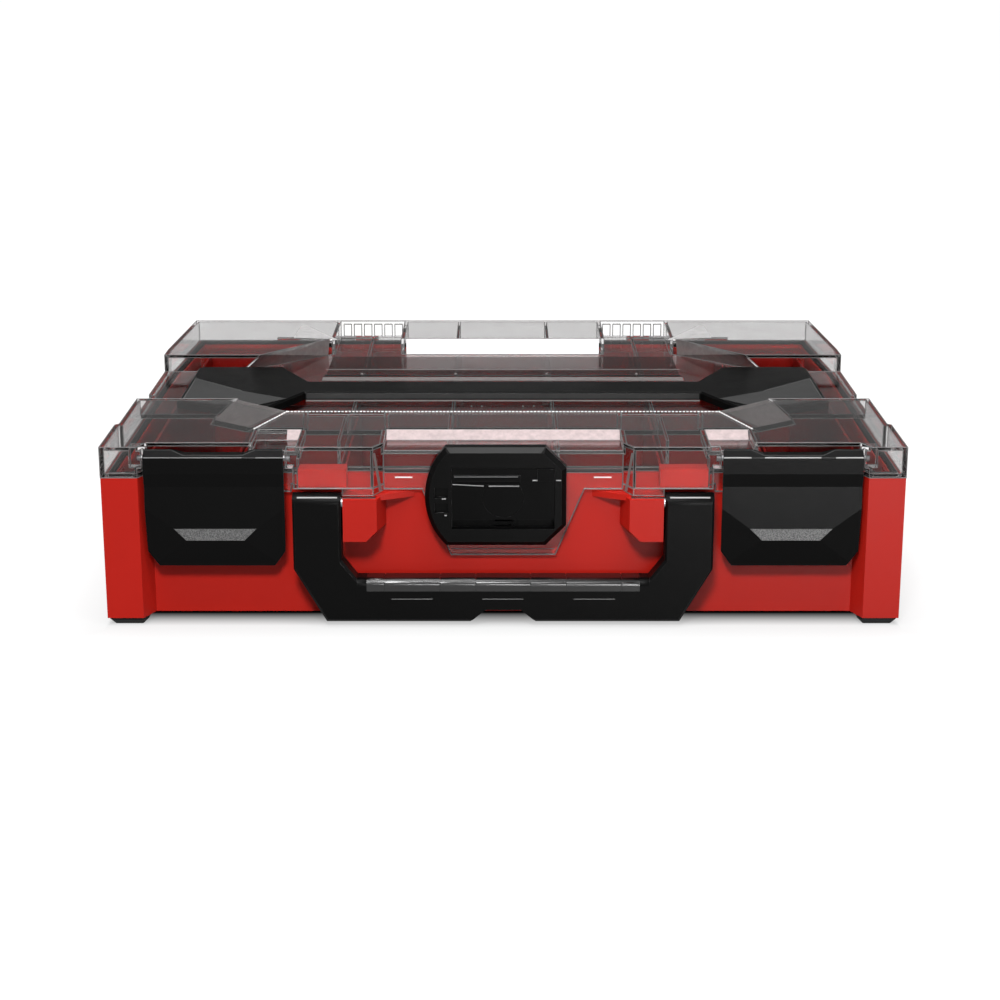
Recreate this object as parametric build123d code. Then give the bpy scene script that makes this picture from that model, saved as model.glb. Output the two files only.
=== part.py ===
from build123d import *
import os

# Stackable tool case, closed and latched, with its handle hanging down. Millimetres.
# X runs to the right, Y to the back, Z up. Most places are given as a depth behind the
# front face of the corner posts, and y_at() turns such a depth into a Y value.

# Whole case
CASE_WIDTH = 502.0
CASE_DEPTH = 400.0
CASE_HEIGHT = 117.0
LID_HEIGHT = 20.0
PARTING_GAP = 0.3
WALL = 2.5
FOOT_HEIGHT = 5.0

# Corner posts and the walls between them
POST_WIDTH = 23.0
POST_SLANT = 6.0
POST_DEPTH = 57.0
FRONT_RECESS = 14.0
SIDE_RECESS = 2.5
SIDE_MIDDLE_START = 195.0
SIDE_MIDDLE_END = 290.0
REAR_TAPER = 6.0
PANEL_DEPTH = 1.0
SKIRT_GAP = 0.5
SKIRT_DROP = 12.0
SKIRT_MIDDLE_DROP = 10.3

# The heights below hang from the top of the case or from the parting line
PARTING_HEIGHT = CASE_HEIGHT - LID_HEIGHT

# Base rim and seal
FLANGE_WIDTH = 5.5
FLANGE_THICKNESS = 3.0
SEAL_INSET = 2.0
SEAL_WIDTH = 3.0
SEAL_HEIGHT = 2.2

# Stacking channel in the lid
CHANNEL_DROP = 12.5
CHANNEL_HALF_WIDTH = 143.0
CHANNEL_FRONT = 93.0
CHANNEL_REAR_SPACE = 70.0
REAR_HALF_WIDTH = 131.0
PAD_INNER = 180.0
PAD_CORNER = 126.0
PAD_REAR_EDGE = 130.0
RAMP_FOOT_START = 169.0
RAMP_FOOT_END = 194.0
RAMP_FOOT_DEPTH = 112.0
NOTCH_INNER = 78.0
NOTCH_OUTER = 129.0
NOTCH_DEPTH = 7.5
FRONT_POCKET_HALF_WIDTH = 75.0
POCKET_DROP = 5.0
POCKET_REAR = 44.5
POCKET_SLOPE = 7.4
SIDE_POCKET_OUTER = 157.0
WINDOW_COUNT = 6
WINDOW_RIB = 2.2
WINDOW_HEIGHT = 9.8
LID_RIB_THICKNESS = 1.6
LID_RIB_DEPTH = 2.5

# Stacking bar in the channel
BAR_THICKNESS = 5.8
BAR_SHIFT = 4.2
BAR_HALF_DEPTH = 16.2
BAR_END_HALF_DEPTH = 64.5
BAR_NARROW_HALF_WIDTH = 139.0
BAR_WIDE_HALF_WIDTH = 162.0
BAR_HALF_WIDTH = 224.0
BAR_FRONT_CORNER_X = 28.0
BAR_FRONT_CORNER_DEPTH = 16.0
BAR_REAR_CORNER = 4.0
BAR_EDGE = 1.2
BAR_SCREW_SPACING = 96.0
BAR_SCREW_REACH = 4.5

# Latches
LATCH_WIDTH = 88.0
LATCH_GAP = 3.5
LATCH_BOTTOM = PARTING_HEIGHT - 59.0
LATCH_TOP = CASE_HEIGHT - 2.5
LATCH_FRONT = -1.0
LATCH_REAR = 8.0
LATCH_SIDE_TAPER = 1.5
LATCH_CORNER_X = 7.0
LATCH_CORNER_Z = 10.0
LATCH_DIP = 2.6
LATCH_DIP_HALF_WIDTH = 26.0
LATCH_DIP_SLANT = 7.5
LATCH_LIP = 2.0
LATCH_BEND = 27.0
LATCH_NECK = 9.0
LATCH_FACET_SIDE = 0.122
LATCH_FACET_DOWN = 0.116
EAR_GAP = 0.9
LATCH_PIVOT_DEPTH = 4.5
LATCH_PIVOT_HEIGHT = CASE_HEIGHT - 8.0
LATCH_HUB_RADIUS = 5.5
LATCH_HUB_BEVEL = 1.4
LATCH_PIN_RADIUS = 2.0
LATCH_PAD_HALF_WIDTH = 25.6
LATCH_PAD_LOW = PARTING_HEIGHT - 40.0
LATCH_PAD_HIGH = LATCH_PAD_LOW + 7.4
LATCH_PAD_THICKNESS = 1.2
CLAW_CLEARANCE = 0.3
CLAW_LOW = PARTING_HEIGHT - 40.0
CLAW_HIGH = CLAW_LOW + 5.0
CATCH_HEIGHT = 4.0
CATCH_DEPTH = 3.0
RUNNING_CLEARANCE = 0.06

# Handle
HANDLE_GAP = 4.8
LEG_WIDTH = 30.4
HANDLE_THICKNESS = 13.0
HANDLE_FRONT = -5.0
HANDLE_PIVOT_HEIGHT = PARTING_HEIGHT - 16.0
HANDLE_BOTTOM = 4.2
GRIP_TOP = 32.5
GRIP_ROUND = 4.5
HANDLE_CORNER_X = 20.2
HANDLE_CORNER_Z = 34.6
HANDLE_INNER_CORNER_X = 9.3
HANDLE_INNER_CORNER_Z = 12.0
HANDLE_EDGE = 1.5
GRIP_HALF_WIDTH = 86.0
GRIP_COVER = 3.0
GRIP_LIP = 8.0
GRIP_SEAMS = (17.3, 39.7, 74.6)
GRIP_SEAM_WIDTH = 0.6
GRIP_SEAM_DEPTH = 0.7
HANDLE_PIN_RADIUS = 3.5
HANDLE_PIN_REACH = 20.0
ARCH_HALF_WIDTH = 22.0
ARCH_SLANT = 11.0
ARCH_HEIGHT = 8.0
FINGER_GROOVE_HEIGHT = 19.3
FINGER_GROOVE_PITCH = 57.0
FINGER_GROOVE_LENGTH = 26.0
FINGER_GROOVE_SIZE = 0.8

# Brackets that carry the handle, and the lid cover over them
BOSS_GAP = 1.0
BOSS_WIDTH = 21.3
BOSS_SPREAD = 5.5
BOSS_FRONT = -3.0
BOSS_LOW = PARTING_HEIGHT - 40.5
BOSS_HIGH = PARTING_HEIGHT - 13.0
BOSS_CORNER = 7.0
SHELF_HEIGHT = 4.0
SHELF_FRONT = 3.0
SHELF_INNER = 56.0
BRACKET_WIDTH = 30.0
BRACKET_LOW = PARTING_HEIGHT - 7.4
BRACKET_HIGH = PARTING_HEIGHT + 5.0
BRACKET_FRONT = 3.2
COVER_GAP = 5.5
COVER_INNER = 81.0
COVER_SLANT = 6.0
COVER_DROP = 7.0

# Stack lock on the lid tongue
LOCK_LEFT = 49.0
LOCK_RIGHT = 39.5
LOCK_LOW = PARTING_HEIGHT - 44.5
LOCK_HIGH = CASE_HEIGHT - 1.0
LOCK_CORNER = 13.0
LOCK_FRONT = 0.5
LOCK_BEVEL = 3.0
TONGUE_TOP_HALF_WIDTH = 51.0
TONGUE_HALF_WIDTH = 33.0
TONGUE_LOW = PARTING_HEIGHT - 53.3
SLIDER_HALF_WIDTH = 32.0
SLIDER_LOW = PARTING_HEIGHT - 27.0
SLIDER_HIGH = SLIDER_LOW + 33.0
SLIDER_TRAVEL = 6.0
SLIDER_CLEARANCE = 0.3
SLIDER_THICKNESS = 6.0
SLIDER_FRONT = 0.8
LEDGE_REACH = 1.3
LEDGE_LOW = 12.0
LEDGE_LIP = 8.0
LEDGE_HIGH = 4.0
DIAL_RADIUS = 13.0
DIAL_GROOVE = 0.4
LOCK_SLOT_DROP = 4.0
LOCK_SLOT_HEIGHT = 6.8
LOCK_SLOT_PITCH = 10.0
SPRING_WIDTH = 12.0
SPRING_WIRE = 0.8
SPRING_SLOT = 12.0
SPRING_BENDS = 5
LOCK_SCREW_SPACING = 36.0
SCREW_RADIUS = 1.6
SCREW_HEAD_RADIUS = 3.2
SCREW_HEAD_HEIGHT = 2.0
SCREW_LENGTH = 7.0
FOOT_SCREW_LENGTH = 5.0

# Hinge at the back
HINGE_RADIUS = 4.0
HINGE_PIN_RADIUS = 1.5
HINGE_CLEARANCE = 0.4
HINGE_INNER = 100.0
HINGE_OUTER_KNUCKLE = 18.0
HINGE_LID_KNUCKLE = 44.0

# Bins
BIN_COLUMNS = 5
BIN_ROWS = 2
SIDE_BIN_SPACE = 78.75
BIN_PITCH = (CASE_WIDTH - 2 * SIDE_BIN_SPACE) / BIN_COLUMNS
BIN_GAP = 1.0
BIN_WALL = 1.6
BIN_HEIGHT = PARTING_HEIGHT - 13.0
BIN_CORNER = 7.0
BIN_FLOOR_RADIUS = 4.0
BIN_CLEARANCE = 0.3
FLOOR_RIB_HEIGHT = 1.0

# Feet
FOOT_LENGTH = 46.0
FOOT_WIDTH = 25.0
FOOT_EDGE = 0.5
FOOT_CORNER = 4.5
FOOT_TAPER = 3.5

HALF_WIDTH = CASE_WIDTH / 2
LID_FACE = FRONT_RECESS - SKIRT_GAP - WALL
LID_BOTTOM = PARTING_HEIGHT + PARTING_GAP
CHANNEL_FLOOR = CASE_HEIGHT - CHANNEL_DROP
CHANNEL_REAR = CASE_DEPTH - CHANNEL_REAR_SPACE
FLOOR_TOP = FOOT_HEIGHT + WALL
LATCH_CENTRE = HALF_WIDTH - POST_WIDTH - LATCH_GAP - LATCH_WIDTH / 2
LATCH_INNER_EDGE = LATCH_CENTRE - LATCH_WIDTH / 2
LEG_OUTER = LATCH_INNER_EDGE - HANDLE_GAP
LEG_INNER = LEG_OUTER - LEG_WIDTH
COVER_OUTER = LATCH_INNER_EDGE - COVER_GAP
HANDLE_PIVOT_DEPTH = HANDLE_FRONT + HANDLE_THICKNESS / 2
FLANGE_INSET = WALL + FLANGE_WIDTH
FOOT_SCREW_DEPTH = SCREW_HEAD_HEIGHT + FOOT_SCREW_LENGTH - FOOT_HEIGHT
BIG = 2 * CASE_WIDTH


def y_at(depth):
    """Y of a place that lies so far behind the front face of the posts."""
    return depth - CASE_DEPTH / 2


def both_sides(right_half):
    """Whole outline from the points of its right half, listed from front to back."""
    left_half = [(-x, depth) for x, depth in reversed(right_half) if x != 0]
    return right_half + left_half


def plan(points):
    """Flat face in plan from (x, depth) points."""
    return make_face(Polyline([(x, y_at(depth)) for x, depth in points], close=True))


def prism(face, low, high):
    """Upright solid over a plan face, from one height to another."""
    return extrude(Pos(0, 0, low) * face, amount=high - low)


def grown(face, amount):
    """Plan face with its outline moved outwards, or inwards if negative."""
    if amount == 0:
        return face
    return offset(face, amount=amount, kind=Kind.INTERSECTION)


def block(x_low, x_high, depth_low, depth_high, z_low, z_high):
    """Rectangular solid between two corners."""
    size = (x_high - x_low, depth_high - depth_low, z_high - z_low)
    corner = Pos(x_low, y_at(depth_low), z_low)
    return corner * Box(*size, align=(Align.MIN, Align.MIN, Align.MIN))


def front_face(points, depth):
    """Upright face seen from the front, from (x, z) points, at one depth."""
    return make_face(Polyline([(x, y_at(depth), z) for x, z in points], close=True))


def front_prism(points, depth_low, depth_high):
    """Solid seen from the front as an outline of (x, z) points."""
    return extrude(front_face(points, depth_low), amount=depth_high - depth_low, dir=(0, 1, 0))


def side_prism(points, x_low, x_high):
    """Solid seen from the side as an outline of (depth, z) points."""
    face = make_face(Polyline([(x_low, y_at(depth), z) for depth, z in points], close=True))
    return extrude(face, amount=x_high - x_low, dir=(1, 0, 0))


def rod(radius, x_low, x_high, depth, height):
    """Cylinder along X."""
    turn = Pos(x_low, y_at(depth), height) * Rot(0, 90, 0)
    return turn * Cylinder(radius, x_high - x_low, align=(Align.CENTER, Align.CENTER, Align.MIN))


def bolt(radius, head_radius, head_height, length):
    """Screw with its head's outer face at the origin, pointing up."""
    base = (Align.CENTER, Align.CENTER, Align.MIN)
    head = Cylinder(head_radius, head_height, align=base)
    shank = Cylinder(radius, length, align=base)
    slot = Box(head_radius * 1.2, head_radius * 0.3, head_height * 0.4, align=base)
    return head + shank - slot


def side_points():
    """Right side of the plan outline, shared by base and lid."""
    step = SIDE_RECESS
    return [
        (HALF_WIDTH, 0),
        (HALF_WIDTH, POST_DEPTH),
        (HALF_WIDTH - SIDE_RECESS, POST_DEPTH + step),
        (HALF_WIDTH - SIDE_RECESS, SIDE_MIDDLE_START - step),
        (HALF_WIDTH, SIDE_MIDDLE_START),
        (HALF_WIDTH, SIDE_MIDDLE_END),
        (HALF_WIDTH - REAR_TAPER, CASE_DEPTH),
        (0, CASE_DEPTH),
    ]


def base_outline():
    post = HALF_WIDTH - POST_WIDTH
    front = [(0, FRONT_RECESS), (post - POST_SLANT, FRONT_RECESS), (post, 0)]
    return plan(both_sides(front + side_points()))


def lid_outline():
    post = HALF_WIDTH - POST_WIDTH
    slant = POST_SLANT * LID_FACE / FRONT_RECESS
    front = [
        (0, LID_FACE),
        (COVER_INNER - COVER_SLANT, LID_FACE),
        (COVER_INNER, 0),
        (COVER_OUTER, 0),
        (COVER_OUTER, LID_FACE),
        (post - slant, LID_FACE),
        (post, 0),
    ]
    return plan(both_sides(front + side_points()))


def hinge_spans(side):
    """X spans of one hinge: inner base knuckle, lid knuckle, outer base knuckle."""
    first = HINGE_INNER
    second = first + HINGE_OUTER_KNUCKLE
    third = second + HINGE_LID_KNUCKLE
    fourth = third + HINGE_OUTER_KNUCKLE
    spans = [(first, second), (second, third), (third, fourth)]
    if side < 0:
        spans = [(-high, -low) for low, high in spans]
    return spans


def knuckle(span, gap):
    """Hinge knuckle on the axis; a gap above zero gives the room cut for it."""
    low, high = span
    return rod(HINGE_RADIUS + gap, low - gap, high + gap, CASE_DEPTH, PARTING_HEIGHT)


def hinge_bore(span, radius):
    low, high = span
    return rod(radius, low - 1, high + 1, CASE_DEPTH, PARTING_HEIGHT)


def foot_places():
    """Centres of the four feet, with their names."""
    x = HALF_WIDTH - FOOT_EDGE - FOOT_WIDTH / 2
    near = FOOT_LENGTH / 2 + 2 * FOOT_EDGE
    far = CASE_DEPTH - FOOT_LENGTH / 2 - 2 * FOOT_EDGE
    return {
        "foot_front_left": (-x, near),
        "foot_front_right": (x, near),
        "foot_rear_left": (-x + REAR_TAPER, far),
        "foot_rear_right": (x - REAR_TAPER, far),
    }


def bin_area():
    """Plan limits of the space that the bins fill: x, near depth and far depth."""
    x = HALF_WIDTH - SIDE_RECESS - FLANGE_INSET - REAR_TAPER
    return x, FRONT_RECESS + FLANGE_INSET, CASE_DEPTH - FLANGE_INSET


def bin_cells():
    """Every bin's name and plan limits."""
    limit, near, far = bin_area()
    row_depth = (far - near) / BIN_ROWS
    grid_left = -BIN_PITCH * BIN_COLUMNS / 2
    cells = {}
    for column in range(BIN_COLUMNS):
        left = grid_left + BIN_PITCH * column
        for row in range(BIN_ROWS):
            front = near + row_depth * row
            name = f"bin_{column + 1}_{row + 1}"
            cells[name] = (left, left + BIN_PITCH, front, front + row_depth)
    cells["side_bin_left"] = (-limit, grid_left, near, far)
    cells["side_bin_right"] = (-grid_left, limit, near, far)
    return cells


def boss_outline(side, spread):
    """Front view of a handle boss, whose inner side slants out towards the wall."""
    outer = LEG_INNER - BOSS_GAP
    inner = outer - BOSS_WIDTH - spread
    outline = [
        (outer, BOSS_LOW),
        (outer, BOSS_HIGH),
        (inner, BOSS_HIGH),
        (inner, BOSS_LOW + BOSS_CORNER),
        (inner + BOSS_CORNER, BOSS_LOW),
    ]
    return [(side * x, z) for x, z in outline]


def handle_boss(side):
    """Boss on the front wall that carries one handle pin, with its shelf on top."""
    rear = FRONT_RECESS + WALL / 2
    front_view = front_face(boss_outline(side, 0), BOSS_FRONT)
    rear_view = front_face(boss_outline(side, BOSS_SPREAD), rear)
    boss = loft([front_view, rear_view], ruled=True)
    outer = LEG_INNER - BOSS_GAP
    inner = outer - BOSS_WIDTH
    shelf = [(outer, SHELF_FRONT), (outer, rear), (SHELF_INNER, rear), (SHELF_INNER, FRONT_RECESS)]
    shelf.append((inner, SHELF_FRONT))
    shelf = plan([(side * x, depth) for x, depth in shelf])
    return boss + prism(shelf, BOSS_HIGH - WALL, BOSS_HIGH - WALL + SHELF_HEIGHT)


def handle_bracket(side):
    """Hook over the top of one handle leg, which stands inside the lid cover."""
    outer = COVER_OUTER - WALL - SKIRT_GAP
    inner = outer - BRACKET_WIDTH
    near, far = sorted((side * inner, side * outer))
    hook = block(near, far, BRACKET_FRONT, FRONT_RECESS + WALL / 2, BRACKET_LOW, BRACKET_HIGH)
    back = block(near, far, FRONT_RECESS, FRONT_RECESS + WALL, BRACKET_LOW, BRACKET_HIGH)
    return hook + back


def latch_catch(side):
    """Ridge on the front wall that one latch snaps over."""
    half = LATCH_WIDTH / 3
    depth = FRONT_RECESS - CATCH_DEPTH
    profile = [
        (FRONT_RECESS + WALL / 2, CLAW_HIGH - 1),
        (FRONT_RECESS, CLAW_HIGH - 1),
        (depth, CLAW_HIGH + CATCH_HEIGHT / 2),
        (depth, CLAW_HIGH + CATCH_HEIGHT),
        (FRONT_RECESS, CLAW_HIGH + CATCH_HEIGHT + CATCH_DEPTH),
        (FRONT_RECESS + WALL / 2, CLAW_HIGH + CATCH_HEIGHT + CATCH_DEPTH),
    ]
    return side_prism(profile, side * LATCH_CENTRE - half, side * LATCH_CENTRE + half)


def side_panels():
    """Shallow pressings cut into the side and rear walls."""
    low = FOOT_HEIGHT + 3 * WALL
    high = PARTING_HEIGHT - FLANGE_THICKNESS - 3 * WALL
    margin = 4 * WALL
    face = HALF_WIDTH - SIDE_RECESS
    near = POST_DEPTH + margin
    far = SIDE_MIDDLE_START - margin
    cuts = block(face - PANEL_DEPTH, BIG, near, far, low, high)
    cuts += block(-BIG, -face + PANEL_DEPTH, near, far, low, high)
    back = CASE_DEPTH - PANEL_DEPTH
    reach = HALF_WIDTH - REAR_TAPER - 2 * margin
    cuts += block(-reach, -HINGE_INNER / 4, back, BIG, low, high - 2 * HINGE_RADIUS)
    cuts += block(HINGE_INNER / 4, reach, back, BIG, low, high - 2 * HINGE_RADIUS)
    return cuts


def floor_ribs():
    """Low ribs on the floor that keep the bins apart."""
    ribs = None
    limit, near, far = bin_area()
    top = FLOOR_TOP + FLOOR_RIB_HEIGHT
    half = BIN_GAP / 2
    for column in range(BIN_COLUMNS + 1):
        x = BIN_PITCH * (column - BIN_COLUMNS / 2)
        rib = block(x - half, x + half, near, far, FLOOR_TOP - WALL / 2, top)
        ribs = rib if ribs is None else ribs + rib
    for row in range(1, BIN_ROWS):
        depth = near + (far - near) / BIN_ROWS * row
        reach = BIN_PITCH * BIN_COLUMNS / 2
        ribs += block(-reach, reach, depth - half, depth + half, FLOOR_TOP - WALL / 2, top)
    return ribs


def base_shell():
    outline = base_outline()
    shell = prism(outline, FOOT_HEIGHT, PARTING_HEIGHT)
    shell -= prism(grown(outline, -WALL), FLOOR_TOP, PARTING_HEIGHT - FLANGE_THICKNESS)
    shell -= prism(grown(outline, -FLANGE_INSET), FLOOR_TOP, CASE_HEIGHT)
    shell -= side_panels()
    shell += floor_ribs()
    for side in (-1, 1):
        shell += handle_boss(side)
        shell += handle_bracket(side)
        shell += latch_catch(side)
        shell -= handle_pin(side)
        inner, middle, outer = hinge_spans(side)
        shell += knuckle(inner, 0) + knuckle(outer, 0)
        shell -= knuckle(middle, HINGE_CLEARANCE)
        shell -= hinge_bore(inner, HINGE_PIN_RADIUS) + hinge_bore(outer, HINGE_PIN_RADIUS)
    for x, depth in foot_places().values():
        place = Pos(x, y_at(depth), FOOT_HEIGHT)
        base = (Align.CENTER, Align.CENTER, Align.MIN)
        shell -= place * Cylinder(SCREW_RADIUS, FOOT_SCREW_DEPTH, align=base)
    return shell


def foot(x, depth):
    """Rubber foot with a sunk hole for its screw."""
    face = RectangleRounded(FOOT_WIDTH, FOOT_LENGTH, FOOT_CORNER)
    pad = extrude(Pos(x, y_at(depth), 0) * face, amount=FOOT_HEIGHT)
    pad = chamfer(pad.faces().sort_by(Axis.Z)[0].edges(), FOOT_TAPER)
    base = (Align.CENTER, Align.CENTER, Align.MIN)
    place = Pos(x, y_at(depth), 0)
    pad -= place * Cylinder(SCREW_RADIUS, FOOT_HEIGHT, align=base)
    pad -= place * Cylinder(SCREW_HEAD_RADIUS, 2 * SCREW_HEAD_HEIGHT, align=base)
    return pad


def foot_screws():
    screws = []
    screw = bolt(SCREW_RADIUS, SCREW_HEAD_RADIUS, SCREW_HEAD_HEIGHT, FOOT_SCREW_LENGTH)
    for x, depth in foot_places().values():
        screws.append(Pos(x, y_at(depth), SCREW_HEAD_HEIGHT) * screw)
    return Compound(children=screws)


def channel(inset):
    """Room above the stacking channel; an inset gives the room for the inside of the skin."""
    low = CHANNEL_FLOOR - inset
    high = CASE_HEIGHT + WALL
    reach = HALF_WIDTH + WALL
    far = CASE_DEPTH - PAD_REAR_EDGE
    rear = [(REAR_HALF_WIDTH, CHANNEL_REAR), (0, CHANNEL_REAR)]
    top_points = [(0, CHANNEL_FRONT), (CHANNEL_HALF_WIDTH, CHANNEL_FRONT), (PAD_INNER, PAD_CORNER), (PAD_INNER, far)]
    foot_points = [
        (0, CHANNEL_FRONT),
        (RAMP_FOOT_START, CHANNEL_FRONT),
        (RAMP_FOOT_END, RAMP_FOOT_DEPTH),
        (RAMP_FOOT_END, far),
    ]
    top = grown(plan(both_sides(top_points + rear)), inset)
    foot_plan = grown(plan(both_sides(foot_points + rear)), inset)
    room = loft([Pos(0, 0, low) * foot_plan, Pos(0, 0, CASE_HEIGHT - inset) * top], ruled=True)
    room += prism(top, CASE_HEIGHT - inset, high)
    room += block(-reach, reach, PAD_REAR_EDGE - inset, far + inset, low, high)
    near = CHANNEL_FRONT - NOTCH_DEPTH - inset
    for side in (-1, 1):
        inner, outer = sorted((side * NOTCH_INNER, side * NOTCH_OUTER))
        room += block(inner - inset, outer + inset, near, CHANNEL_FRONT + WALL, low, high)
        room += block(inner - inset, outer + inset, CHANNEL_REAR - WALL, CASE_DEPTH - WALL, low, high)
    return room


def front_pockets(inset):
    """Room above the low front edge of the lid's top, with a slope up to the top."""
    floor = CASE_HEIGHT - POCKET_DROP
    rear = POCKET_REAR + inset / 2
    profile = [
        (-WALL, floor - inset),
        (rear - POCKET_SLOPE, floor - inset),
        (rear, CASE_HEIGHT - inset),
        (rear, CASE_HEIGHT + WALL),
        (-WALL, CASE_HEIGHT + WALL),
    ]
    half = FRONT_POCKET_HALF_WIDTH
    spans = [(-half, half), (-SIDE_POCKET_OUTER, -NOTCH_OUTER), (NOTCH_OUTER, SIDE_POCKET_OUTER)]
    room = None
    for low, high in spans:
        cut = side_prism(profile, low - inset, high + inset)
        room = cut if room is None else room + cut
    return room


def lid_form(inset):
    """Outer form of the lid's top part, or with an inset the room inside it."""
    outline = grown(lid_outline(), -inset)
    low = LID_BOTTOM if inset == 0 else LID_BOTTOM - WALL
    form = prism(outline, low, CASE_HEIGHT - inset)
    form -= channel(inset)
    form -= front_pockets(inset)
    return form


def lid_skirts():
    """Walls that hang below the parting line in front of the base wall."""
    ring = prism(lid_outline(), LID_BOTTOM - SKIRT_DROP, LID_BOTTOM)
    ring -= prism(grown(lid_outline(), -WALL), 0, CASE_HEIGHT)
    post = HALF_WIDTH - POST_WIDTH - POST_SLANT
    skirts = ring & block(-post, post, -WALL, FRONT_RECESS - SKIRT_GAP, 0, CASE_HEIGHT)
    skirts -= block(-COVER_INNER, COVER_INNER, -WALL, FRONT_RECESS, 0, LID_BOTTOM - SKIRT_MIDDLE_DROP)
    for side in (-1, 1):
        near, far = sorted((side * (COVER_INNER - COVER_SLANT), side * (COVER_OUTER + WALL)))
        skirts -= block(near, far, -WALL, FRONT_RECESS, 0, LID_BOTTOM - COVER_DROP)
    tongue = [
        (TONGUE_TOP_HALF_WIDTH, LID_BOTTOM),
        (TONGUE_TOP_HALF_WIDTH, LID_BOTTOM - SKIRT_MIDDLE_DROP),
        (TONGUE_HALF_WIDTH, TONGUE_LOW),
        (-TONGUE_HALF_WIDTH, TONGUE_LOW),
        (-TONGUE_TOP_HALF_WIDTH, LID_BOTTOM - SKIRT_MIDDLE_DROP),
        (-TONGUE_TOP_HALF_WIDTH, LID_BOTTOM),
    ]
    return skirts + front_prism(tongue, LID_FACE, LID_FACE + WALL)


def lid_ribs():
    """Ribs under the lid's top, in line with the walls of the bins."""
    ribs = None
    half = LID_RIB_THICKNESS / 2
    near = FRONT_RECESS + 2 * WALL
    for index in range(1, BIN_COLUMNS):
        x = BIN_PITCH * (index - BIN_COLUMNS / 2)
        low = CHANNEL_FLOOR - WALL - LID_RIB_DEPTH
        rib = block(x - half, x + half, near, CASE_DEPTH - WALL / 2, low, CASE_HEIGHT - WALL / 2)
        ribs = rib if ribs is None else ribs + rib
    return ribs


def rear_windows():
    """Row of openings through the rear wall behind each rear cleat pocket."""
    width = NOTCH_OUTER - NOTCH_INNER
    pitch = (width - WINDOW_RIB) / WINDOW_COUNT
    cuts = None
    for side in (-1, 1):
        start = side * (NOTCH_INNER + NOTCH_OUTER) / 2 - width / 2 + WINDOW_RIB
        for index in range(WINDOW_COUNT):
            low = start + pitch * index
            cut = block(
                low, low + pitch - WINDOW_RIB, CASE_DEPTH - 2 * WALL, CASE_DEPTH + WALL,
                CHANNEL_FLOOR, CHANNEL_FLOOR + WINDOW_HEIGHT
            )
            cuts = cut if cuts is None else cuts + cut
    return cuts


def latch_room(side):
    """Room round one latch's hub, for the corners that swing back when it opens."""
    reach = LATCH_WIDTH / 2 + EAR_GAP
    centre = side * LATCH_CENTRE
    radius = LID_FACE - LATCH_PIVOT_DEPTH - EAR_GAP / 4
    return rod(radius, centre - reach, centre + reach, LATCH_PIVOT_DEPTH, LATCH_PIVOT_HEIGHT)


def latch_ears(side):
    """Blocks on the lid's front wall that hold one latch pin."""
    inner = LATCH_CENTRE - LATCH_WIDTH / 2
    outer = LATCH_CENTRE + LATCH_WIDTH / 2
    low = LATCH_PIVOT_HEIGHT - LATCH_HUB_RADIUS
    high = LATCH_PIVOT_HEIGHT + LATCH_HUB_RADIUS
    near = LATCH_PIVOT_DEPTH - LATCH_HUB_RADIUS + 1
    post = HALF_WIDTH - POST_WIDTH + 2 * WALL
    spans = [(COVER_OUTER - WALL, inner - EAR_GAP), (outer + EAR_GAP, post)]
    ears = None
    for first, last in spans:
        first, last = sorted((side * first, side * last))
        ear = block(first, last, near, LID_FACE + WALL / 2, low, high)
        ears = ear if ears is None else ears + ear
    return ears


def seal_ring(low, high):
    outline = base_outline()
    ring = prism(grown(outline, -WALL - SEAL_INSET), low, high)
    return ring - prism(grown(outline, -WALL - SEAL_INSET - SEAL_WIDTH), low - 1, high + 1)


def seal_rib():
    """Flat rib inside the lid's walls that the seal lies against."""
    high = LID_BOTTOM + SEAL_HEIGHT
    rib = prism(grown(lid_outline(), -WALL / 2), LID_BOTTOM, high)
    rib -= prism(grown(base_outline(), -WALL - SEAL_INSET), LID_BOTTOM - 1, high + 1)
    room = 2 * SKIRT_GAP
    for side in (-1, 1):
        near, far = sorted((side * (COVER_INNER - COVER_SLANT), side * (COVER_OUTER - WALL)))
        rib -= block(near, far, WALL, FRONT_RECESS + WALL + room, LID_BOTTOM - 1, high + 1)
    return rib


def lid_shell():
    shell = lid_form(0)
    shell += lid_ribs() & shell
    shell -= lid_form(WALL) - lid_ribs()
    shell += lid_skirts() + seal_rib()
    shell -= rear_windows()
    for side in (-1, 1):
        shell -= latch_room(side)
        shell += latch_ears(side)
        inner, middle, outer = hinge_spans(side)
        gap = HINGE_CLEARANCE
        low, high = middle
        shell -= knuckle(inner, gap) + knuckle(outer, gap)
        shell += knuckle((low + gap, high - gap), 0)
        shell -= hinge_bore(middle, HINGE_PIN_RADIUS + RUNNING_CLEARANCE)
        pin = latch_pin(side)
        shell -= pin
    for x in (-BAR_SCREW_SPACING, BAR_SCREW_SPACING):
        base = (Align.CENTER, Align.CENTER, Align.MAX)
        shell -= Pos(x, -BAR_SHIFT, CHANNEL_FLOOR + 1) * Cylinder(SCREW_RADIUS, 2 * WALL, align=base)
    for x, z in lock_screw_places():
        shell -= lock_screw_hole(x, z)
    return shell


def latch_pin(side):
    reach = LATCH_WIDTH / 2 + LATCH_GAP
    centre = side * LATCH_CENTRE
    return rod(LATCH_PIN_RADIUS, centre - reach, centre + reach, LATCH_PIVOT_DEPTH, LATCH_PIVOT_HEIGHT)


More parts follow.
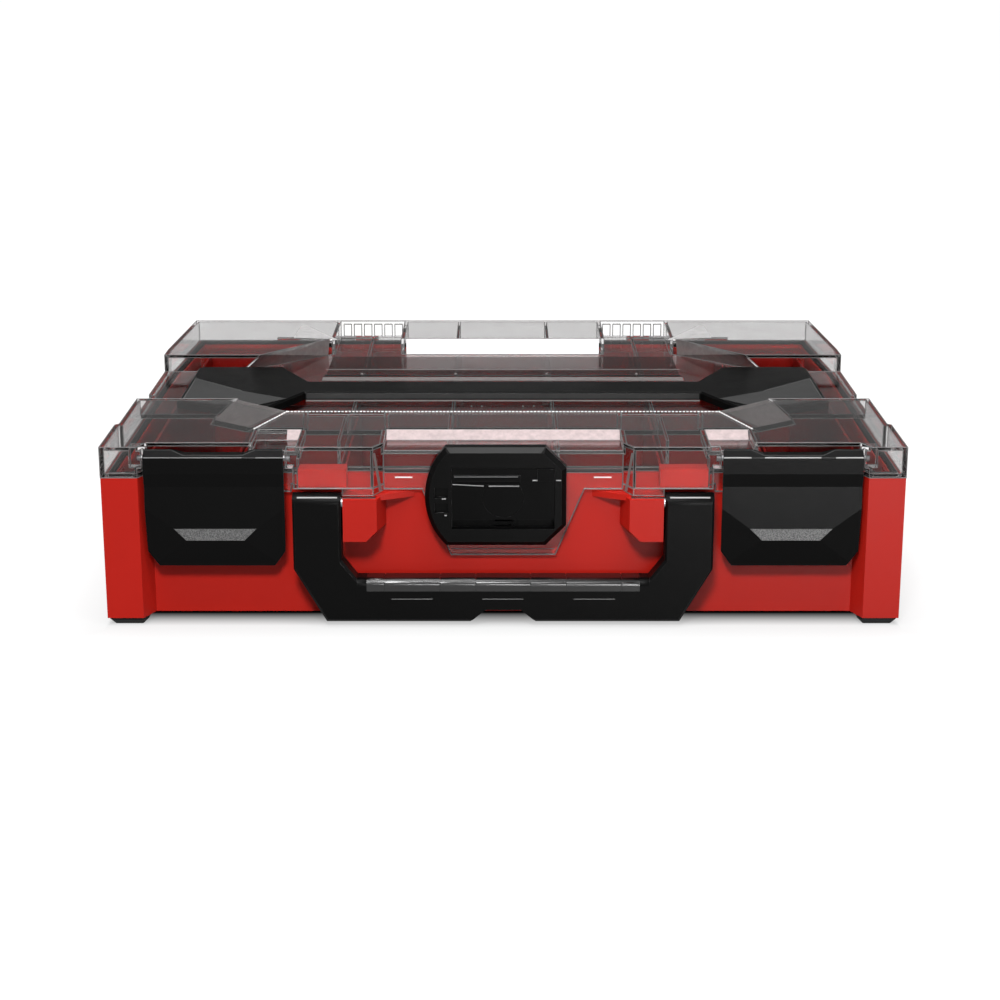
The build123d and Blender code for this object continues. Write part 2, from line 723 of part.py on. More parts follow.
def bar_outline():
    """Bone shaped plan whose front corners are cut off."""
    middle = CASE_DEPTH / 2 - BAR_SHIFT
    front = middle - BAR_END_HALF_DEPTH
    rear = middle + BAR_END_HALF_DEPTH
    return plan(both_sides([
        (0, middle - BAR_HALF_DEPTH),
        (BAR_NARROW_HALF_WIDTH, middle - BAR_HALF_DEPTH),
        (BAR_WIDE_HALF_WIDTH, front),
        (BAR_HALF_WIDTH - BAR_FRONT_CORNER_X, front),
        (BAR_HALF_WIDTH, front + BAR_FRONT_CORNER_DEPTH),
        (BAR_HALF_WIDTH, rear - BAR_REAR_CORNER),
        (BAR_HALF_WIDTH - BAR_REAR_CORNER, rear),
        (BAR_WIDE_HALF_WIDTH, rear),
        (BAR_NARROW_HALF_WIDTH, middle + BAR_HALF_DEPTH),
        (0, middle + BAR_HALF_DEPTH),
    ]))


def stacking_bar():
    top = CHANNEL_FLOOR + BAR_THICKNESS
    bar = prism(bar_outline(), CHANNEL_FLOOR, top)
    bar = chamfer(bar.faces().sort_by(Axis.Z)[-1].edges(), BAR_EDGE)
    for x in (-BAR_SCREW_SPACING, BAR_SCREW_SPACING):
        base = (Align.CENTER, Align.CENTER, Align.MIN)
        hole = Cylinder(SCREW_RADIUS, BAR_SCREW_REACH, align=base)
        bar -= Pos(x, -BAR_SHIFT, CHANNEL_FLOOR) * hole
    return bar


def stacking_bar_screws():
    """Screws driven up through the channel floor into the bar."""
    length = SCREW_HEAD_HEIGHT + WALL + BAR_SCREW_REACH
    screw = bolt(SCREW_RADIUS, SCREW_HEAD_RADIUS, SCREW_HEAD_HEIGHT, length)
    low = CHANNEL_FLOOR - WALL - SCREW_HEAD_HEIGHT
    places = (-BAR_SCREW_SPACING, BAR_SCREW_SPACING)
    return Compound(children=[Pos(x, -BAR_SHIFT, low) * screw for x in places])


def latch_front_points(inset):
    """Front view of a latch about its own centre."""
    half = LATCH_WIDTH / 2 - inset
    low = LATCH_BOTTOM + inset
    return [
        (half, LATCH_TOP),
        (half, low + LATCH_CORNER_Z),
        (half - LATCH_CORNER_X, low),
        (-half + LATCH_CORNER_X, low),
        (-half, low + LATCH_CORNER_Z),
        (-half, LATCH_TOP),
    ]


def latch_profile():
    """Side view of a latch: grip facets in front, claw behind, room for the hub."""
    claw = FRONT_RECESS - CATCH_DEPTH - CLAW_CLEARANCE
    hub_front = LATCH_PIVOT_DEPTH - LATCH_HUB_RADIUS
    hub_rear = LATCH_PIVOT_DEPTH + LATCH_HUB_RADIUS
    hub_top = LATCH_PIVOT_HEIGHT + LATCH_HUB_RADIUS
    bevel = LATCH_HUB_RADIUS - LATCH_HUB_BEVEL
    return [
        (LATCH_REAR - LATCH_LIP, LATCH_BOTTOM),
        (LATCH_REAR - 2 * LATCH_LIP, LATCH_BOTTOM),
        (LATCH_FRONT, LATCH_PAD_LOW),
        (LATCH_FRONT, LATCH_PAD_HIGH),
        (LATCH_FRONT + LATCH_HUB_BEVEL, LATCH_PAD_HIGH + LATCH_BEND),
        (hub_front, LATCH_PIVOT_HEIGHT - LATCH_NECK),
        (hub_front, hub_top - bevel),
        (hub_front + bevel, hub_top),
        (hub_rear - bevel, hub_top),
        (hub_rear, hub_top - bevel),
        (hub_rear, LATCH_PIVOT_HEIGHT - LATCH_LIP),
        (LATCH_REAR, LATCH_PIVOT_HEIGHT - LATCH_NECK - LATCH_LIP),
        (LATCH_REAR, CLAW_HIGH + LATCH_LIP),
        (claw, CLAW_HIGH),
        (claw, CLAW_LOW),
        (LATCH_REAR, CLAW_LOW - LATCH_LIP),
        (LATCH_REAR, LATCH_BOTTOM + LATCH_LIP),
    ]


def latch_pad_points(inset):
    """Front view of the grip strip on a latch, a long trapezoid."""
    top = LATCH_PAD_HALF_WIDTH - inset
    low = top - (LATCH_PAD_HIGH - LATCH_PAD_LOW)
    return [
        (top, LATCH_PAD_HIGH - inset),
        (low, LATCH_PAD_LOW + inset),
        (-low, LATCH_PAD_LOW + inset),
        (-top, LATCH_PAD_HIGH - inset),
    ]


def latch(side):
    half = LATCH_WIDTH / 2
    front = front_face(latch_front_points(0), LATCH_FRONT - 1)
    rear = front_face(latch_front_points(LATCH_SIDE_TAPER), LATCH_REAR + 3)
    body = loft([front, rear], ruled=True) & side_prism(latch_profile(), -half, half)
    for turn in (-1, 1):
        corner = Plane(
            origin=(turn * LATCH_PAD_HALF_WIDTH, y_at(LATCH_FRONT), LATCH_PAD_HIGH),
            z_dir=(turn * LATCH_FACET_SIDE, -1, -LATCH_FACET_DOWN)
        )
        body = split(body, bisect_by=corner, keep=Keep.BOTTOM)
    low = LATCH_DIP_HALF_WIDTH - LATCH_DIP_SLANT
    dip = [
        (LATCH_DIP_HALF_WIDTH, LATCH_TOP + 1),
        (LATCH_DIP_HALF_WIDTH, LATCH_TOP),
        (low, LATCH_TOP - LATCH_DIP),
        (-low, LATCH_TOP - LATCH_DIP),
        (-LATCH_DIP_HALF_WIDTH, LATCH_TOP),
        (-LATCH_DIP_HALF_WIDTH, LATCH_TOP + 1),
    ]
    body -= front_prism(dip, LATCH_FRONT - WALL, FRONT_RECESS)
    body -= front_prism(latch_pad_points(0), LATCH_FRONT - 1, LATCH_FRONT + LATCH_PAD_THICKNESS / 2)
    body -= rod(
        LATCH_PIN_RADIUS + RUNNING_CLEARANCE, -half, half, LATCH_PIVOT_DEPTH, LATCH_PIVOT_HEIGHT
    )
    return Pos(side * LATCH_CENTRE, 0, 0) * body


def latch_pad(side):
    back = LATCH_FRONT + LATCH_PAD_THICKNESS / 2
    pad = front_prism(latch_pad_points(0), back - LATCH_PAD_THICKNESS, back)
    return Pos(side * LATCH_CENTRE, 0, 0) * pad


def handle_outline():
    """Front view of the U handle."""
    outer = LEG_OUTER
    inner = LEG_INNER
    top = HANDLE_PIVOT_HEIGHT + HANDLE_THICKNESS / 2
    right_outer = [(outer, top), (outer, HANDLE_BOTTOM + HANDLE_CORNER_Z), (outer - HANDLE_CORNER_X, HANDLE_BOTTOM)]
    right_inner = [(inner - HANDLE_INNER_CORNER_X, GRIP_TOP), (inner, GRIP_TOP + HANDLE_INNER_CORNER_Z), (inner, top)]
    left_outer = [(-x, z) for x, z in reversed(right_outer)]
    left_inner = [(-x, z) for x, z in reversed(right_inner)]
    return right_outer + left_outer + left_inner + right_inner


def grip_cover_room(inset):
    """Room of the soft cover on the handle's bar: its top and the top of its front."""
    half = GRIP_HALF_WIDTH - inset
    front = HANDLE_FRONT - 1
    rear = HANDLE_FRONT + HANDLE_THICKNESS + 1
    room = block(-half, half, front, rear, GRIP_TOP - GRIP_COVER, GRIP_TOP + 1)
    room += block(-half, half, front, HANDLE_FRONT + GRIP_COVER, GRIP_TOP - GRIP_LIP, GRIP_TOP)
    return room


def round_off(height, depth, radius, reach, upper):
    """Corner to cut from an edge along X so that a round of the given radius is left."""
    low, high = (height - radius, height + 1) if upper else (height - 1, height + radius)
    corner = block(-reach, reach, depth - 1, depth + radius, low, high)
    centre = height - radius if upper else height + radius
    return corner - rod(radius, -reach, reach, depth + radius, centre)


def handle_blank():
    """U shape with eased front edges, round leg tops and a rounded grip."""
    rear = HANDLE_FRONT + HANDLE_THICKNESS
    body = front_prism(handle_outline(), HANDLE_FRONT, rear)
    body = chamfer(body.faces().sort_by(Axis.Y)[0].edges(), HANDLE_EDGE)
    arc = HANDLE_PIVOT_HEIGHT + HANDLE_THICKNESS
    tops = block(-LEG_OUTER, LEG_OUTER, HANDLE_FRONT - 1, rear + 1, HANDLE_PIVOT_HEIGHT, arc)
    tops -= rod(HANDLE_THICKNESS / 2, -LEG_OUTER, LEG_OUTER, HANDLE_PIVOT_DEPTH, HANDLE_PIVOT_HEIGHT)
    body -= tops
    return body - round_off(GRIP_TOP, HANDLE_FRONT, GRIP_ROUND, LEG_INNER - HANDLE_INNER_CORNER_X, True)


def handle():
    body = handle_blank() - grip_cover_room(0)
    arch = [
        (ARCH_HALF_WIDTH, HANDLE_BOTTOM - 1),
        (ARCH_HALF_WIDTH - ARCH_SLANT, HANDLE_BOTTOM + ARCH_HEIGHT),
        (-ARCH_HALF_WIDTH + ARCH_SLANT, HANDLE_BOTTOM + ARCH_HEIGHT),
        (-ARCH_HALF_WIDTH, HANDLE_BOTTOM - 1),
    ]
    body -= front_prism(arch, HANDLE_FRONT - 1, HANDLE_FRONT + HANDLE_THICKNESS + 1)
    for index in (-1, 0, 1):
        centre = index * FINGER_GROOVE_PITCH
        low = centre - FINGER_GROOVE_LENGTH / 2
        body -= block(
            low, low + FINGER_GROOVE_LENGTH, HANDLE_FRONT - 1, HANDLE_FRONT + FINGER_GROOVE_SIZE,
            FINGER_GROOVE_HEIGHT, FINGER_GROOVE_HEIGHT + FINGER_GROOVE_SIZE
        )
    for side in (-1, 1):
        reach = sorted((side * (LEG_INNER - 1), side * (LEG_INNER + HANDLE_PIN_REACH)))
        radius = HANDLE_PIN_RADIUS + RUNNING_CLEARANCE
        body -= rod(radius, *reach, HANDLE_PIVOT_DEPTH, HANDLE_PIVOT_HEIGHT)
    return body


def handle_grip():
    cover = handle_blank() & grip_cover_room(0)
    for place in GRIP_SEAMS:
        for side in (-1, 1):
            x = side * place
            half = GRIP_SEAM_WIDTH / 2
            cover -= block(
                x - half, x + half, HANDLE_FRONT - 1, HANDLE_FRONT + HANDLE_THICKNESS + 1,
                GRIP_TOP - GRIP_SEAM_DEPTH, GRIP_TOP + 1
            )
            cover -= block(
                x - half, x + half, HANDLE_FRONT - 1, HANDLE_FRONT + GRIP_SEAM_DEPTH,
                GRIP_TOP - GRIP_LIP - 1, GRIP_TOP
            )
    return cover


def handle_pin(side):
    start = side * (LEG_INNER - BOSS_WIDTH)
    end = side * (LEG_INNER + HANDLE_PIN_REACH - 1)
    return rod(HANDLE_PIN_RADIUS, *sorted((start, end)), HANDLE_PIVOT_DEPTH, HANDLE_PIVOT_HEIGHT)


def lock_outline():
    """Front view of the stack lock: an eight sided plate with a rounded left side."""
    corner = LOCK_CORNER
    middle = (LOCK_LOW + LOCK_HIGH) / 2
    left = LOCK_LEFT - corner
    start = (LOCK_RIGHT - corner, LOCK_HIGH)
    lines = Polyline([
        (-left, LOCK_HIGH), start, (LOCK_RIGHT, LOCK_HIGH - corner), (LOCK_RIGHT, LOCK_LOW + corner),
        (LOCK_RIGHT - corner, LOCK_LOW), (-left, LOCK_LOW)
    ])
    arc = ThreePointArc((-left, LOCK_LOW), (-LOCK_LEFT, middle), (-left, LOCK_HIGH))
    return make_face([lines, arc])


def lock_plate(inset, near, far):
    """Plate with the lock's outline between two depths."""
    face = lock_outline() if inset == 0 else offset(lock_outline(), amount=-inset)
    upright = Plane(origin=(0, y_at(far), 0), x_dir=(1, 0, 0), z_dir=(0, -1, 0))
    return extrude(upright * face, amount=far - near)


def lock_screw_places():
    x = LOCK_SCREW_SPACING / 2
    return [(-x, LOCK_LOW + 5), (x, LOCK_LOW + 5)]


def lock_screw_hole(x, z):
    turn = Pos(x, y_at(LID_FACE + WALL), z) * Rot(90, 0, 0)
    base = (Align.CENTER, Align.CENTER, Align.MIN)
    return turn * Cylinder(SCREW_RADIUS, SCREW_LENGTH, align=base)


def slider_room():
    gap = SLIDER_CLEARANCE
    return block(
        -SLIDER_HALF_WIDTH - gap, SLIDER_HALF_WIDTH + gap, LOCK_FRONT - 1,
        SLIDER_FRONT + SLIDER_THICKNESS + gap, SLIDER_LOW - SLIDER_TRAVEL - gap, SLIDER_HIGH + gap
    )


def stack_lock_housing():
    body = lock_plate(0, LOCK_FRONT, LID_FACE)
    front_edges = body.faces().sort_by(Axis.Y)[0].edges()
    body = chamfer(front_edges, LOCK_BEVEL)
    body -= slider_room()
    for index in (0, 1):
        low = SLIDER_LOW + LOCK_SLOT_DROP + LOCK_SLOT_PITCH * index
        body -= block(
            -LOCK_LEFT + 2 * LOCK_BEVEL, -SLIDER_HALF_WIDTH - WALL, LOCK_FRONT - 1, LOCK_FRONT + LOCK_BEVEL,
            low, low + LOCK_SLOT_HEIGHT
        )
    for x, z in lock_screw_places():
        body -= lock_screw_hole(x, z)
    return body


def stack_lock_screws():
    screw = bolt(SCREW_RADIUS, SCREW_HEAD_RADIUS, SCREW_HEAD_HEIGHT / 4, SCREW_LENGTH)
    turn = Rot(90, 0, 0)
    depth = LID_FACE + WALL + SCREW_HEAD_HEIGHT / 4
    return Compound(children=[Pos(x, y_at(depth), z) * turn * screw for x, z in lock_screw_places()])


def stack_lock_slider():
    rear = SLIDER_FRONT + SLIDER_THICKNESS
    body = block(-SLIDER_HALF_WIDTH, SLIDER_HALF_WIDTH, SLIDER_FRONT, rear, SLIDER_LOW, SLIDER_HIGH)
    half = SPRING_WIDTH / 2 + SLIDER_CLEARANCE
    body -= block(-half, half, SLIDER_FRONT + 2, rear + 1, SLIDER_LOW - 1, SLIDER_LOW + SPRING_SLOT)
    ledge = [
        (SLIDER_FRONT + LEDGE_REACH, SLIDER_HIGH - LEDGE_LOW),
        (SLIDER_FRONT - LEDGE_REACH, SLIDER_HIGH - LEDGE_LIP),
        (SLIDER_FRONT - LEDGE_REACH, SLIDER_HIGH - LEDGE_HIGH - SLIDER_CLEARANCE),
        (SLIDER_FRONT + LEDGE_REACH, SLIDER_HIGH - LEDGE_HIGH),
    ]
    body += side_prism(ledge, LEDGE_REACH - SLIDER_HALF_WIDTH, SLIDER_HALF_WIDTH / 3)
    body += block(
        2 * SLIDER_HALF_WIDTH / 3, SLIDER_HALF_WIDTH, SLIDER_FRONT - LEDGE_REACH, SLIDER_FRONT + LEDGE_REACH,
        SLIDER_HIGH - LEDGE_LIP, SLIDER_HIGH
    )
    turn = Pos(0, y_at(SLIDER_FRONT), SLIDER_LOW + DIAL_RADIUS + LEDGE_REACH) * Rot(90, 0, 0)
    groove = Cylinder(DIAL_RADIUS, 2 * DIAL_GROOVE) - Cylinder(DIAL_RADIUS - DIAL_GROOVE, 2 * DIAL_GROOVE)
    return body - turn * groove


def stack_lock_spring():
    """Folded strip spring between the housing and the slider."""
    low = SLIDER_LOW - SLIDER_TRAVEL - SLIDER_CLEARANCE
    high = SLIDER_LOW + SPRING_SLOT
    near = SLIDER_FRONT + 3
    far = SLIDER_FRONT + SLIDER_THICKNESS - 0.5
    half = SPRING_WIDTH / 2 - SPRING_WIRE
    step = (high - low - SPRING_WIRE) / SPRING_BENDS
    body = None
    for index in range(SPRING_BENDS + 1):
        z = low + step * index
        bar = block(-half, half, near, far, z, z + SPRING_WIRE)
        body = bar if body is None else body + bar
        if index < SPRING_BENDS:
            x = half if index % 2 == 0 else -half - SPRING_WIRE
            body += block(x, x + SPRING_WIRE, near, far, z, z + step + SPRING_WIRE)
    return body


def hinge_pin(side):
    spans = hinge_spans(side)
    ends = [value for span in spans for value in span]
    return rod(HINGE_PIN_RADIUS, min(ends), max(ends), CASE_DEPTH, PARTING_HEIGHT)


def storage_bin(cell):
    """Open bin with rounded corners and a rounded floor."""
    left, right, near, far = cell
    width = right - left - BIN_GAP - 2 * BIN_CLEARANCE
    depth = far - near - BIN_GAP - 2 * BIN_CLEARANCE
    centre = Pos((left + right) / 2, y_at((near + far) / 2), FLOOR_TOP)
    outer = extrude(RectangleRounded(width, depth, BIN_CORNER), amount=BIN_HEIGHT)
    outer = fillet(outer.faces().sort_by(Axis.Z)[0].edges(), BIN_FLOOR_RADIUS)
    hollow = RectangleRounded(width - 2 * BIN_WALL, depth - 2 * BIN_WALL, BIN_CORNER - BIN_WALL)
    inner = Pos(0, 0, BIN_WALL) * extrude(hollow, amount=BIN_HEIGHT)
    inner = fillet(inner.faces().sort_by(Axis.Z)[0].edges(), BIN_FLOOR_RADIUS)
    return centre * (outer - inner)


def nodes():
    """Every piece of the case by name."""
    pieces = {
        "base_shell": base_shell(),
        "foot_screws": foot_screws(),
        "lid_shell": lid_shell(),
        "lid_seal": seal_ring(LID_BOTTOM, LID_BOTTOM + SEAL_HEIGHT),
        "stacking_bar": stacking_bar(),
        "stacking_bar_screws": stacking_bar_screws(),
        "handle": handle(),
        "handle_grip": handle_grip(),
        "stack_lock_housing": stack_lock_housing(),
        "stack_lock_screws": stack_lock_screws(),
        "stack_lock_slider": stack_lock_slider(),
        "stack_lock_spring": stack_lock_spring(),
    }
    for name, side in (("left", -1), ("right", 1)):
        pieces[f"latch_{name}"] = latch(side)
        pieces[f"latch_pad_{name}"] = latch_pad(side)
        pieces[f"latch_pin_{name}"] = latch_pin(side)
        pieces[f"handle_pin_{name}"] = handle_pin(side)
        pieces[f"hinge_pin_{name}"] = hinge_pin(side)
    for name, (x, depth) in foot_places().items():
        pieces[name] = foot(x, depth)
    for name, cell in bin_cells().items():
        pieces[name] = storage_bin(cell)
    return pieces


os.makedirs("parts", exist_ok=True)
for node_name, piece in nodes().items():
    export_step(piece, f"parts/{node_name}.step")
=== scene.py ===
import math

import bmesh
import bpy
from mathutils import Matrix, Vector


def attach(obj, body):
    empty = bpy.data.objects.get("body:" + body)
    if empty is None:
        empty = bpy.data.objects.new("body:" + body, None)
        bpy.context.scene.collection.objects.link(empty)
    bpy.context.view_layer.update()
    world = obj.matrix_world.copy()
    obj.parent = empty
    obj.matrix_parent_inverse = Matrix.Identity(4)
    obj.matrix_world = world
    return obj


# Stackable tool case with a clear lid, black latches and a folding handle. Sizes are in
# millimetres until they go into a mesh, and a depth counts back from the front of the posts.

MM = 0.001
CASE_DEPTH = 400.0

# Camera, fitted to the photograph
CAMERA_PLACE = (-2.0, -1476.7, 452.0)
CAMERA_PITCH = 16.12
CAMERA_LENS = 76.6
SENSOR_WIDTH = 36.0

# Colours as they look on screen, 0 to 255
RED = (196, 34, 24)
BIN_RED = (140, 20, 14)
BLACK = (8, 8, 8)
LOCK_BLACK = (8, 8, 8)
# Lighter edge colours: a painted highlight along the eased edges, besides their real gloss
EDGE_SHEEN_RED = (200, 46, 34)
EDGE_SHEEN_BLACK = (34, 34, 34)
# Painted highlight on the clear lid's edges
EDGE_HIGHLIGHT_GREY = (140, 136, 136)
# Painted sheen on the lid's faces, strips and lines
PAINTED_SHEEN = (144, 138, 137)
# Painted highlight on the lid's slopes
WHITE_PAINTED_SHEEN = (196, 178, 178)
# White of the rear wall's painted glow and of other painted highlights
HIGHLIGHT_WHITE = (253, 251, 251)
GRIP_GREY = (92, 92, 92)
RUBBER = (14, 14, 14)
GRIP_BLACK = (9, 9, 9)
# Painted shade over the stacking channel's floor
SHADE_PAINT_COLOUR = (44, 32, 32)
# Painted glints on the black parts
GLINT = (150, 150, 150)
DIM_GLINT = (84, 84, 84)
# Painted sheen on the stacking bar's ends and front
BAR_SHEEN_GREY = (58, 58, 58)
# Painted glint on the lock's top bevel
BEVEL_GLINT_GREY = (52, 52, 52)
STEEL = (150, 150, 152)
FLOOR = (125, 125, 125)

# Moulded plastics: colour, roughness, grain per metre, grain depth in metres, drift, gloss
MOULDED = {
    "red_plastic": (RED, 0.42, 2600.0, 0.0002, 0.06, 0.14),
    "bin_plastic": (BIN_RED, 0.4, 1800.0, 0.0002, 0.06, 0.14),
    "black_plastic": (BLACK, 0.33, 2600.0, 0.0002, 0.1, 0.06),
    "lock_plastic": (LOCK_BLACK, 0.3, 2600.0, 0.0001, 0.1, 0.05),
    "rubber": (RUBBER, 0.5, 1500.0, 0.0003, 0.1, 0.15),
    "soft_grip": (GRIP_BLACK, 0.24, 1500.0, 0.0001, 0.1, 0.6),
    # Edge finishes lighter than their plastics: a painted highlight along the edges, besides their real gloss
    "red_edge": (EDGE_SHEEN_RED, 0.35, 2600.0, 0.0001, 0.1, 0.15),
    "black_edge": (EDGE_SHEEN_BLACK, 0.3, 2600.0, 0.0001, 0.2, 0.6),
    # Painted glints
    "glint": (GLINT, 0.3, 2600.0, 0.0001, 0.2, 0.5),
    "dim_glint": (DIM_GLINT, 0.3, 2600.0, 0.0001, 0.2, 0.5),
    "soft_glint": (BEVEL_GLINT_GREY, 0.4, 2600.0, 0.0001, 0.2, 0.1),
    # Painted sheen on the stacking bar
    "bar_pad": (BAR_SHEEN_GREY, 0.45, 1400.0, 0.0002, 0.15, 0.1),
}

# Milky plastics that paint highlights, sheen and shade on the lid: colour, how much of it hides what is
# behind, roughness, grain per metre
MILKY = {
    "painted_sheen": (PAINTED_SHEEN, 0.6, 0.45, 260.0),
    "white_painted_sheen": (WHITE_PAINTED_SHEEN, 0.92, 0.4, 260.0),
    # Painted dark line
    "painted_dark_line": (BLACK, 0.7, 0.3, 300.0),
    "edge_highlight": (EDGE_HIGHLIGHT_GREY, 0.6, 0.3, 400.0),
    "facet_highlight": (HIGHLIGHT_WHITE, 0.95, 0.4, 120.0),
    "dashed_highlight": (HIGHLIGHT_WHITE, 0.95, 0.3, 400.0),
    # Painted glints
    "spark": (HIGHLIGHT_WHITE, 0.95, 0.3, 400.0),
    # Painted shade
    "channel_painted_shade": (SHADE_PAINT_COLOUR, 0.4, 0.7, 200.0),
}

# Share of a lamp's light that passes one face of the clear lid
CLEAR_SHADOW_SHARE = 0.42

# Painted glow of the lid's rear wall, which is no lamp
WALL_GLOW = 0.45

# Widths of the eased edges
BASE_EASE = 0.8
BLACK_EASE = 0.7
SMALL_EASE = 0.5
EASE_ANGLE = 30.0

# Distance under which two corners of a CAD mesh are one, in metres
SAME_PLACE = 0.00001

# Thickness of the plates that lie on the lid
PLATE = 0.3
THIN_PLATE = 0.25
SHEEN_PLATE = 0.2
BAND_PLATE = 0.1
LIP_PLATE = 0.6

# Stacking channel: its floor, and the front wall with a painted highlight line and dashed painted highlights
# along its edges
CHANNEL_FLOOR = 104.5
CHANNEL_HALF_WIDTH = 143.0
CHANNEL_FRONT = 93.0
WALL_LINE_LOW = 114.1
WALL_LINE_HIGH = 114.9
DASH_DEPTH = 92.7
DASH_HEIGHT = 117.1
DASH_END = (160.3, 44.5, DASH_HEIGHT)

# Painted highlight dashes on the front wall's edge and on its slanted ends: pitch, length and radius
FRONT_DASHES = (2.4, 1.5, 0.45)
SLANT_DASHES = (3.6, 1.9, 0.6)

# Faces on the right side of the lid that carry a painted sheen (the ramps) and a painted highlight (the
# corner facet), as x, depth and height
FRONT_RAMP = ((143.5, 93.4, 116.8), (179.6, 126.4, 116.8), (194.0, 112.4, 104.8), (169.5, 93.4, 104.8))
REAR_RAMP = ((133.0, 327.0, 116.8), (178.5, 272.0, 116.8), (192.0, 272.0, 104.8), (134.0, 326.0, 104.8))
CORNER_FACET = ((127.2, 326.7, 117.0), (154.2, 378.3, 117.0), (159.2, 378.0, 117.0), (160.9, 333.1, 117.0))

# Rear wall behind the channel, with a painted glow
REAR_WALL_HALF_WIDTH = 74.0
REAR_WALL_DEPTH = 329.8
REAR_WALL_LOW = 104.8
REAR_WALL_HIGH = 116.6

# Painted highlight bands on the slopes up from the low front edge of the lid: x from and to, lower and upper
# edge
SLOPE_SPANS = ((-74.5, 74.5), (129.5, 156.5), (-138.0, -129.5))
SLOPE_LOW = (37.2, 112.1)
SLOPE_HIGH = (44.3, 116.9)

# Painted highlight strips, a painted dark line and a painted shade strip on the channel's floor: half width,
# depth from and to
PALE_STRIPS = ((132.0, 239.0, 250.0), (132.0, 275.0, 277.0), (138.0, 174.5, 178.0))
DARK_STRIP = (131.0, 253.5, 257.5)
PAINTED_SHADE_STRIP = (130.0, 262.0, 321.0)
PAINTED_SHADE_HEIGHT = 104.45

# Painted highlight dots on the channel's floor, drawn as small domes: depth, radius and places across
HIGHLIGHT_DOT_ROWS = (
    (260.0, 1.2, (-104.0, -34.9, 32.4, 98.7)),
    (159.5, 0.7, (-21.8, -14.6, 13.9, 21.4)),
)

# Painted highlight line across the foot of the lid's tongue
TONGUE_LINE = ((-33.0, 10.9, 47.7), (32.6, 10.9, 47.7))
TONGUE_LINE_RADIUS = 0.3

# Painted glints on edges of the black parts
LATCH_LEFT_EDGES = ((-223.4, -162.5), (-153.8, -136.5))
LATCH_RIGHT_EDGES = ((137.1, 154.1), (162.5, 197.3), (206.6, 223.6))
LATCH_EDGE_PLACE = (-0.9, 110.4)
HANDLE_TOP_EDGES = ((-128.5, -103.5), (104.0, 129.0))
HANDLE_TOP_PLACE = (-3.1, 85.2)
HANDLE_GROOVES = ((-70.6, -44.8), (-13.2, 12.6), (44.8, 70.6))
HANDLE_GROOVE_PLACE = (-4.9, 19.3)
SLIDER_EDGES = (((-31.5, 0.7, 92.8), (-12.3, 0.7, 91.8)), ((-9.1, 0.7, 91.7), (10.0, 0.7, 91.7)))
SLIDER_LEDGE = ((-30.5, 9.2),)
SLIDER_LEDGE_PLACE = (-0.5, 98.0)
SLIDER_BLOCK_EDGES = (((18.3, 0.4, 95.5), (31.5, 0.4, 95.5)),)
LOCK_EDGES = (
    ((33.0, 0.4, 95.5), (36.0, 0.4, 95.5)),
    ((-38.3, 0.4, 83.5), (-35.8, 0.4, 83.5)),
    ((-36.7, 0.4, 72.7), (-35.2, 0.4, 72.7)),
)
LOCK_BEVEL = ((-33.0, 0.4, 113.1), (-35.5, 3.4, 116.1), (26.0, 3.4, 116.1), (23.5, 0.4, 113.1))
LOCK_EDGE_RADIUS = 0.42
LATCH_LEFT_RADIUS = 0.4
LATCH_RIGHT_RADIUS = 0.55
HANDLE_TOP_RADIUS = 0.7
FINE_RADIUS = 0.25

# Low lips of the clear covers over the handle bosses, with a painted sheen band, painted highlights on the
# lip edges and painted glints
LIP_LOW = 85.9
LIP_HIGH = 90.0
LIP_FRONT = ((81.0, 0.0, LIP_LOW), (100.4, 0.0, LIP_LOW), (100.4, 0.0, LIP_HIGH), (81.0, 0.0, LIP_HIGH))
LIP_SLANT = ((75.6, 9.9, 86.6), (81.0, 0.0, LIP_LOW), (81.0, 0.0, LIP_HIGH), (75.6, 9.9, LIP_HIGH))
LIP_EDGE = ((100.4, 0.0, LIP_HIGH), (100.4, 0.0, LIP_LOW), (81.0, 0.0, LIP_LOW), (75.6, 9.9, 86.6))
COVER_BAND = ((81.0, 0.0, 113.0), (79.8, 2.2, 113.0), (76.4, 8.4, 87.0), (77.8, 5.9, 87.0))
COVER_SPARK = ((57.0, 10.8, 94.7), (68.0, 10.8, 94.7))
LIP_EDGE_RADIUS = 0.3
SPARK_RADIUS = 0.45

# Raised front ends of the stacking bar with a painted sheen, the painted highlight on their rim, and the same
# painted sheen on the bar's front
PAD_TOP = 110.8
PAD_OUTLINE = ((150.0, 157.0), (183.3, 180.2), (221.0, 219.0), (221.0, 150.0), (196.0, 133.5), (172.0, 133.5))
PAD_RIM = ((183.3, 180.2, PAD_TOP), (221.0, 219.0, PAD_TOP), (221.0, 150.0, PAD_TOP))
PAD_RIM_RADIUS = 0.3
BAR_FRONT_HALF_WIDTH = 138.0
BAR_FRONT_DEPTH = 179.5
BAR_FRONT_LOW = 105.2
BAR_FRONT_HIGH = 109.0

# Painted highlight lines on the edges of the clear lid
EDGE_RADIUS = 0.3
EDGE_ANGLE = 28.0
EDGE_SHORTEST = 1.5

# World brightness as light and in reflections; the camera sees it white
WORLD_LIGHT = 0.1
WORLD_MIRRORED_FRONT = 0.9
WORLD_MIRRORED_REAR = 0.15
FLOOR_MIRRORED = 0.75

# The floor's glow near the case and far from it, and the distances in metres
FLOOR_GLOW = (0.86, 1.0)
FLOOR_GLOW_REACH = (0.45, 1.1)

# Painted contact shadow of the floor in metres: where it starts, its reach and the case's side
SHADE_FRONT = -0.175
SHADE_REACH = 0.03
SHADE_FADE = 0.07
SHADE_SIDE = 0.252
SHADE_SIDE_STEEP = 0.012
SHADE_SIDE_SOFT = 0.06
SHADE_REAR = 0.02
SHADE_FRONT_LEVEL = 0.74
SHADE_SIDE_LEVEL = 0.87

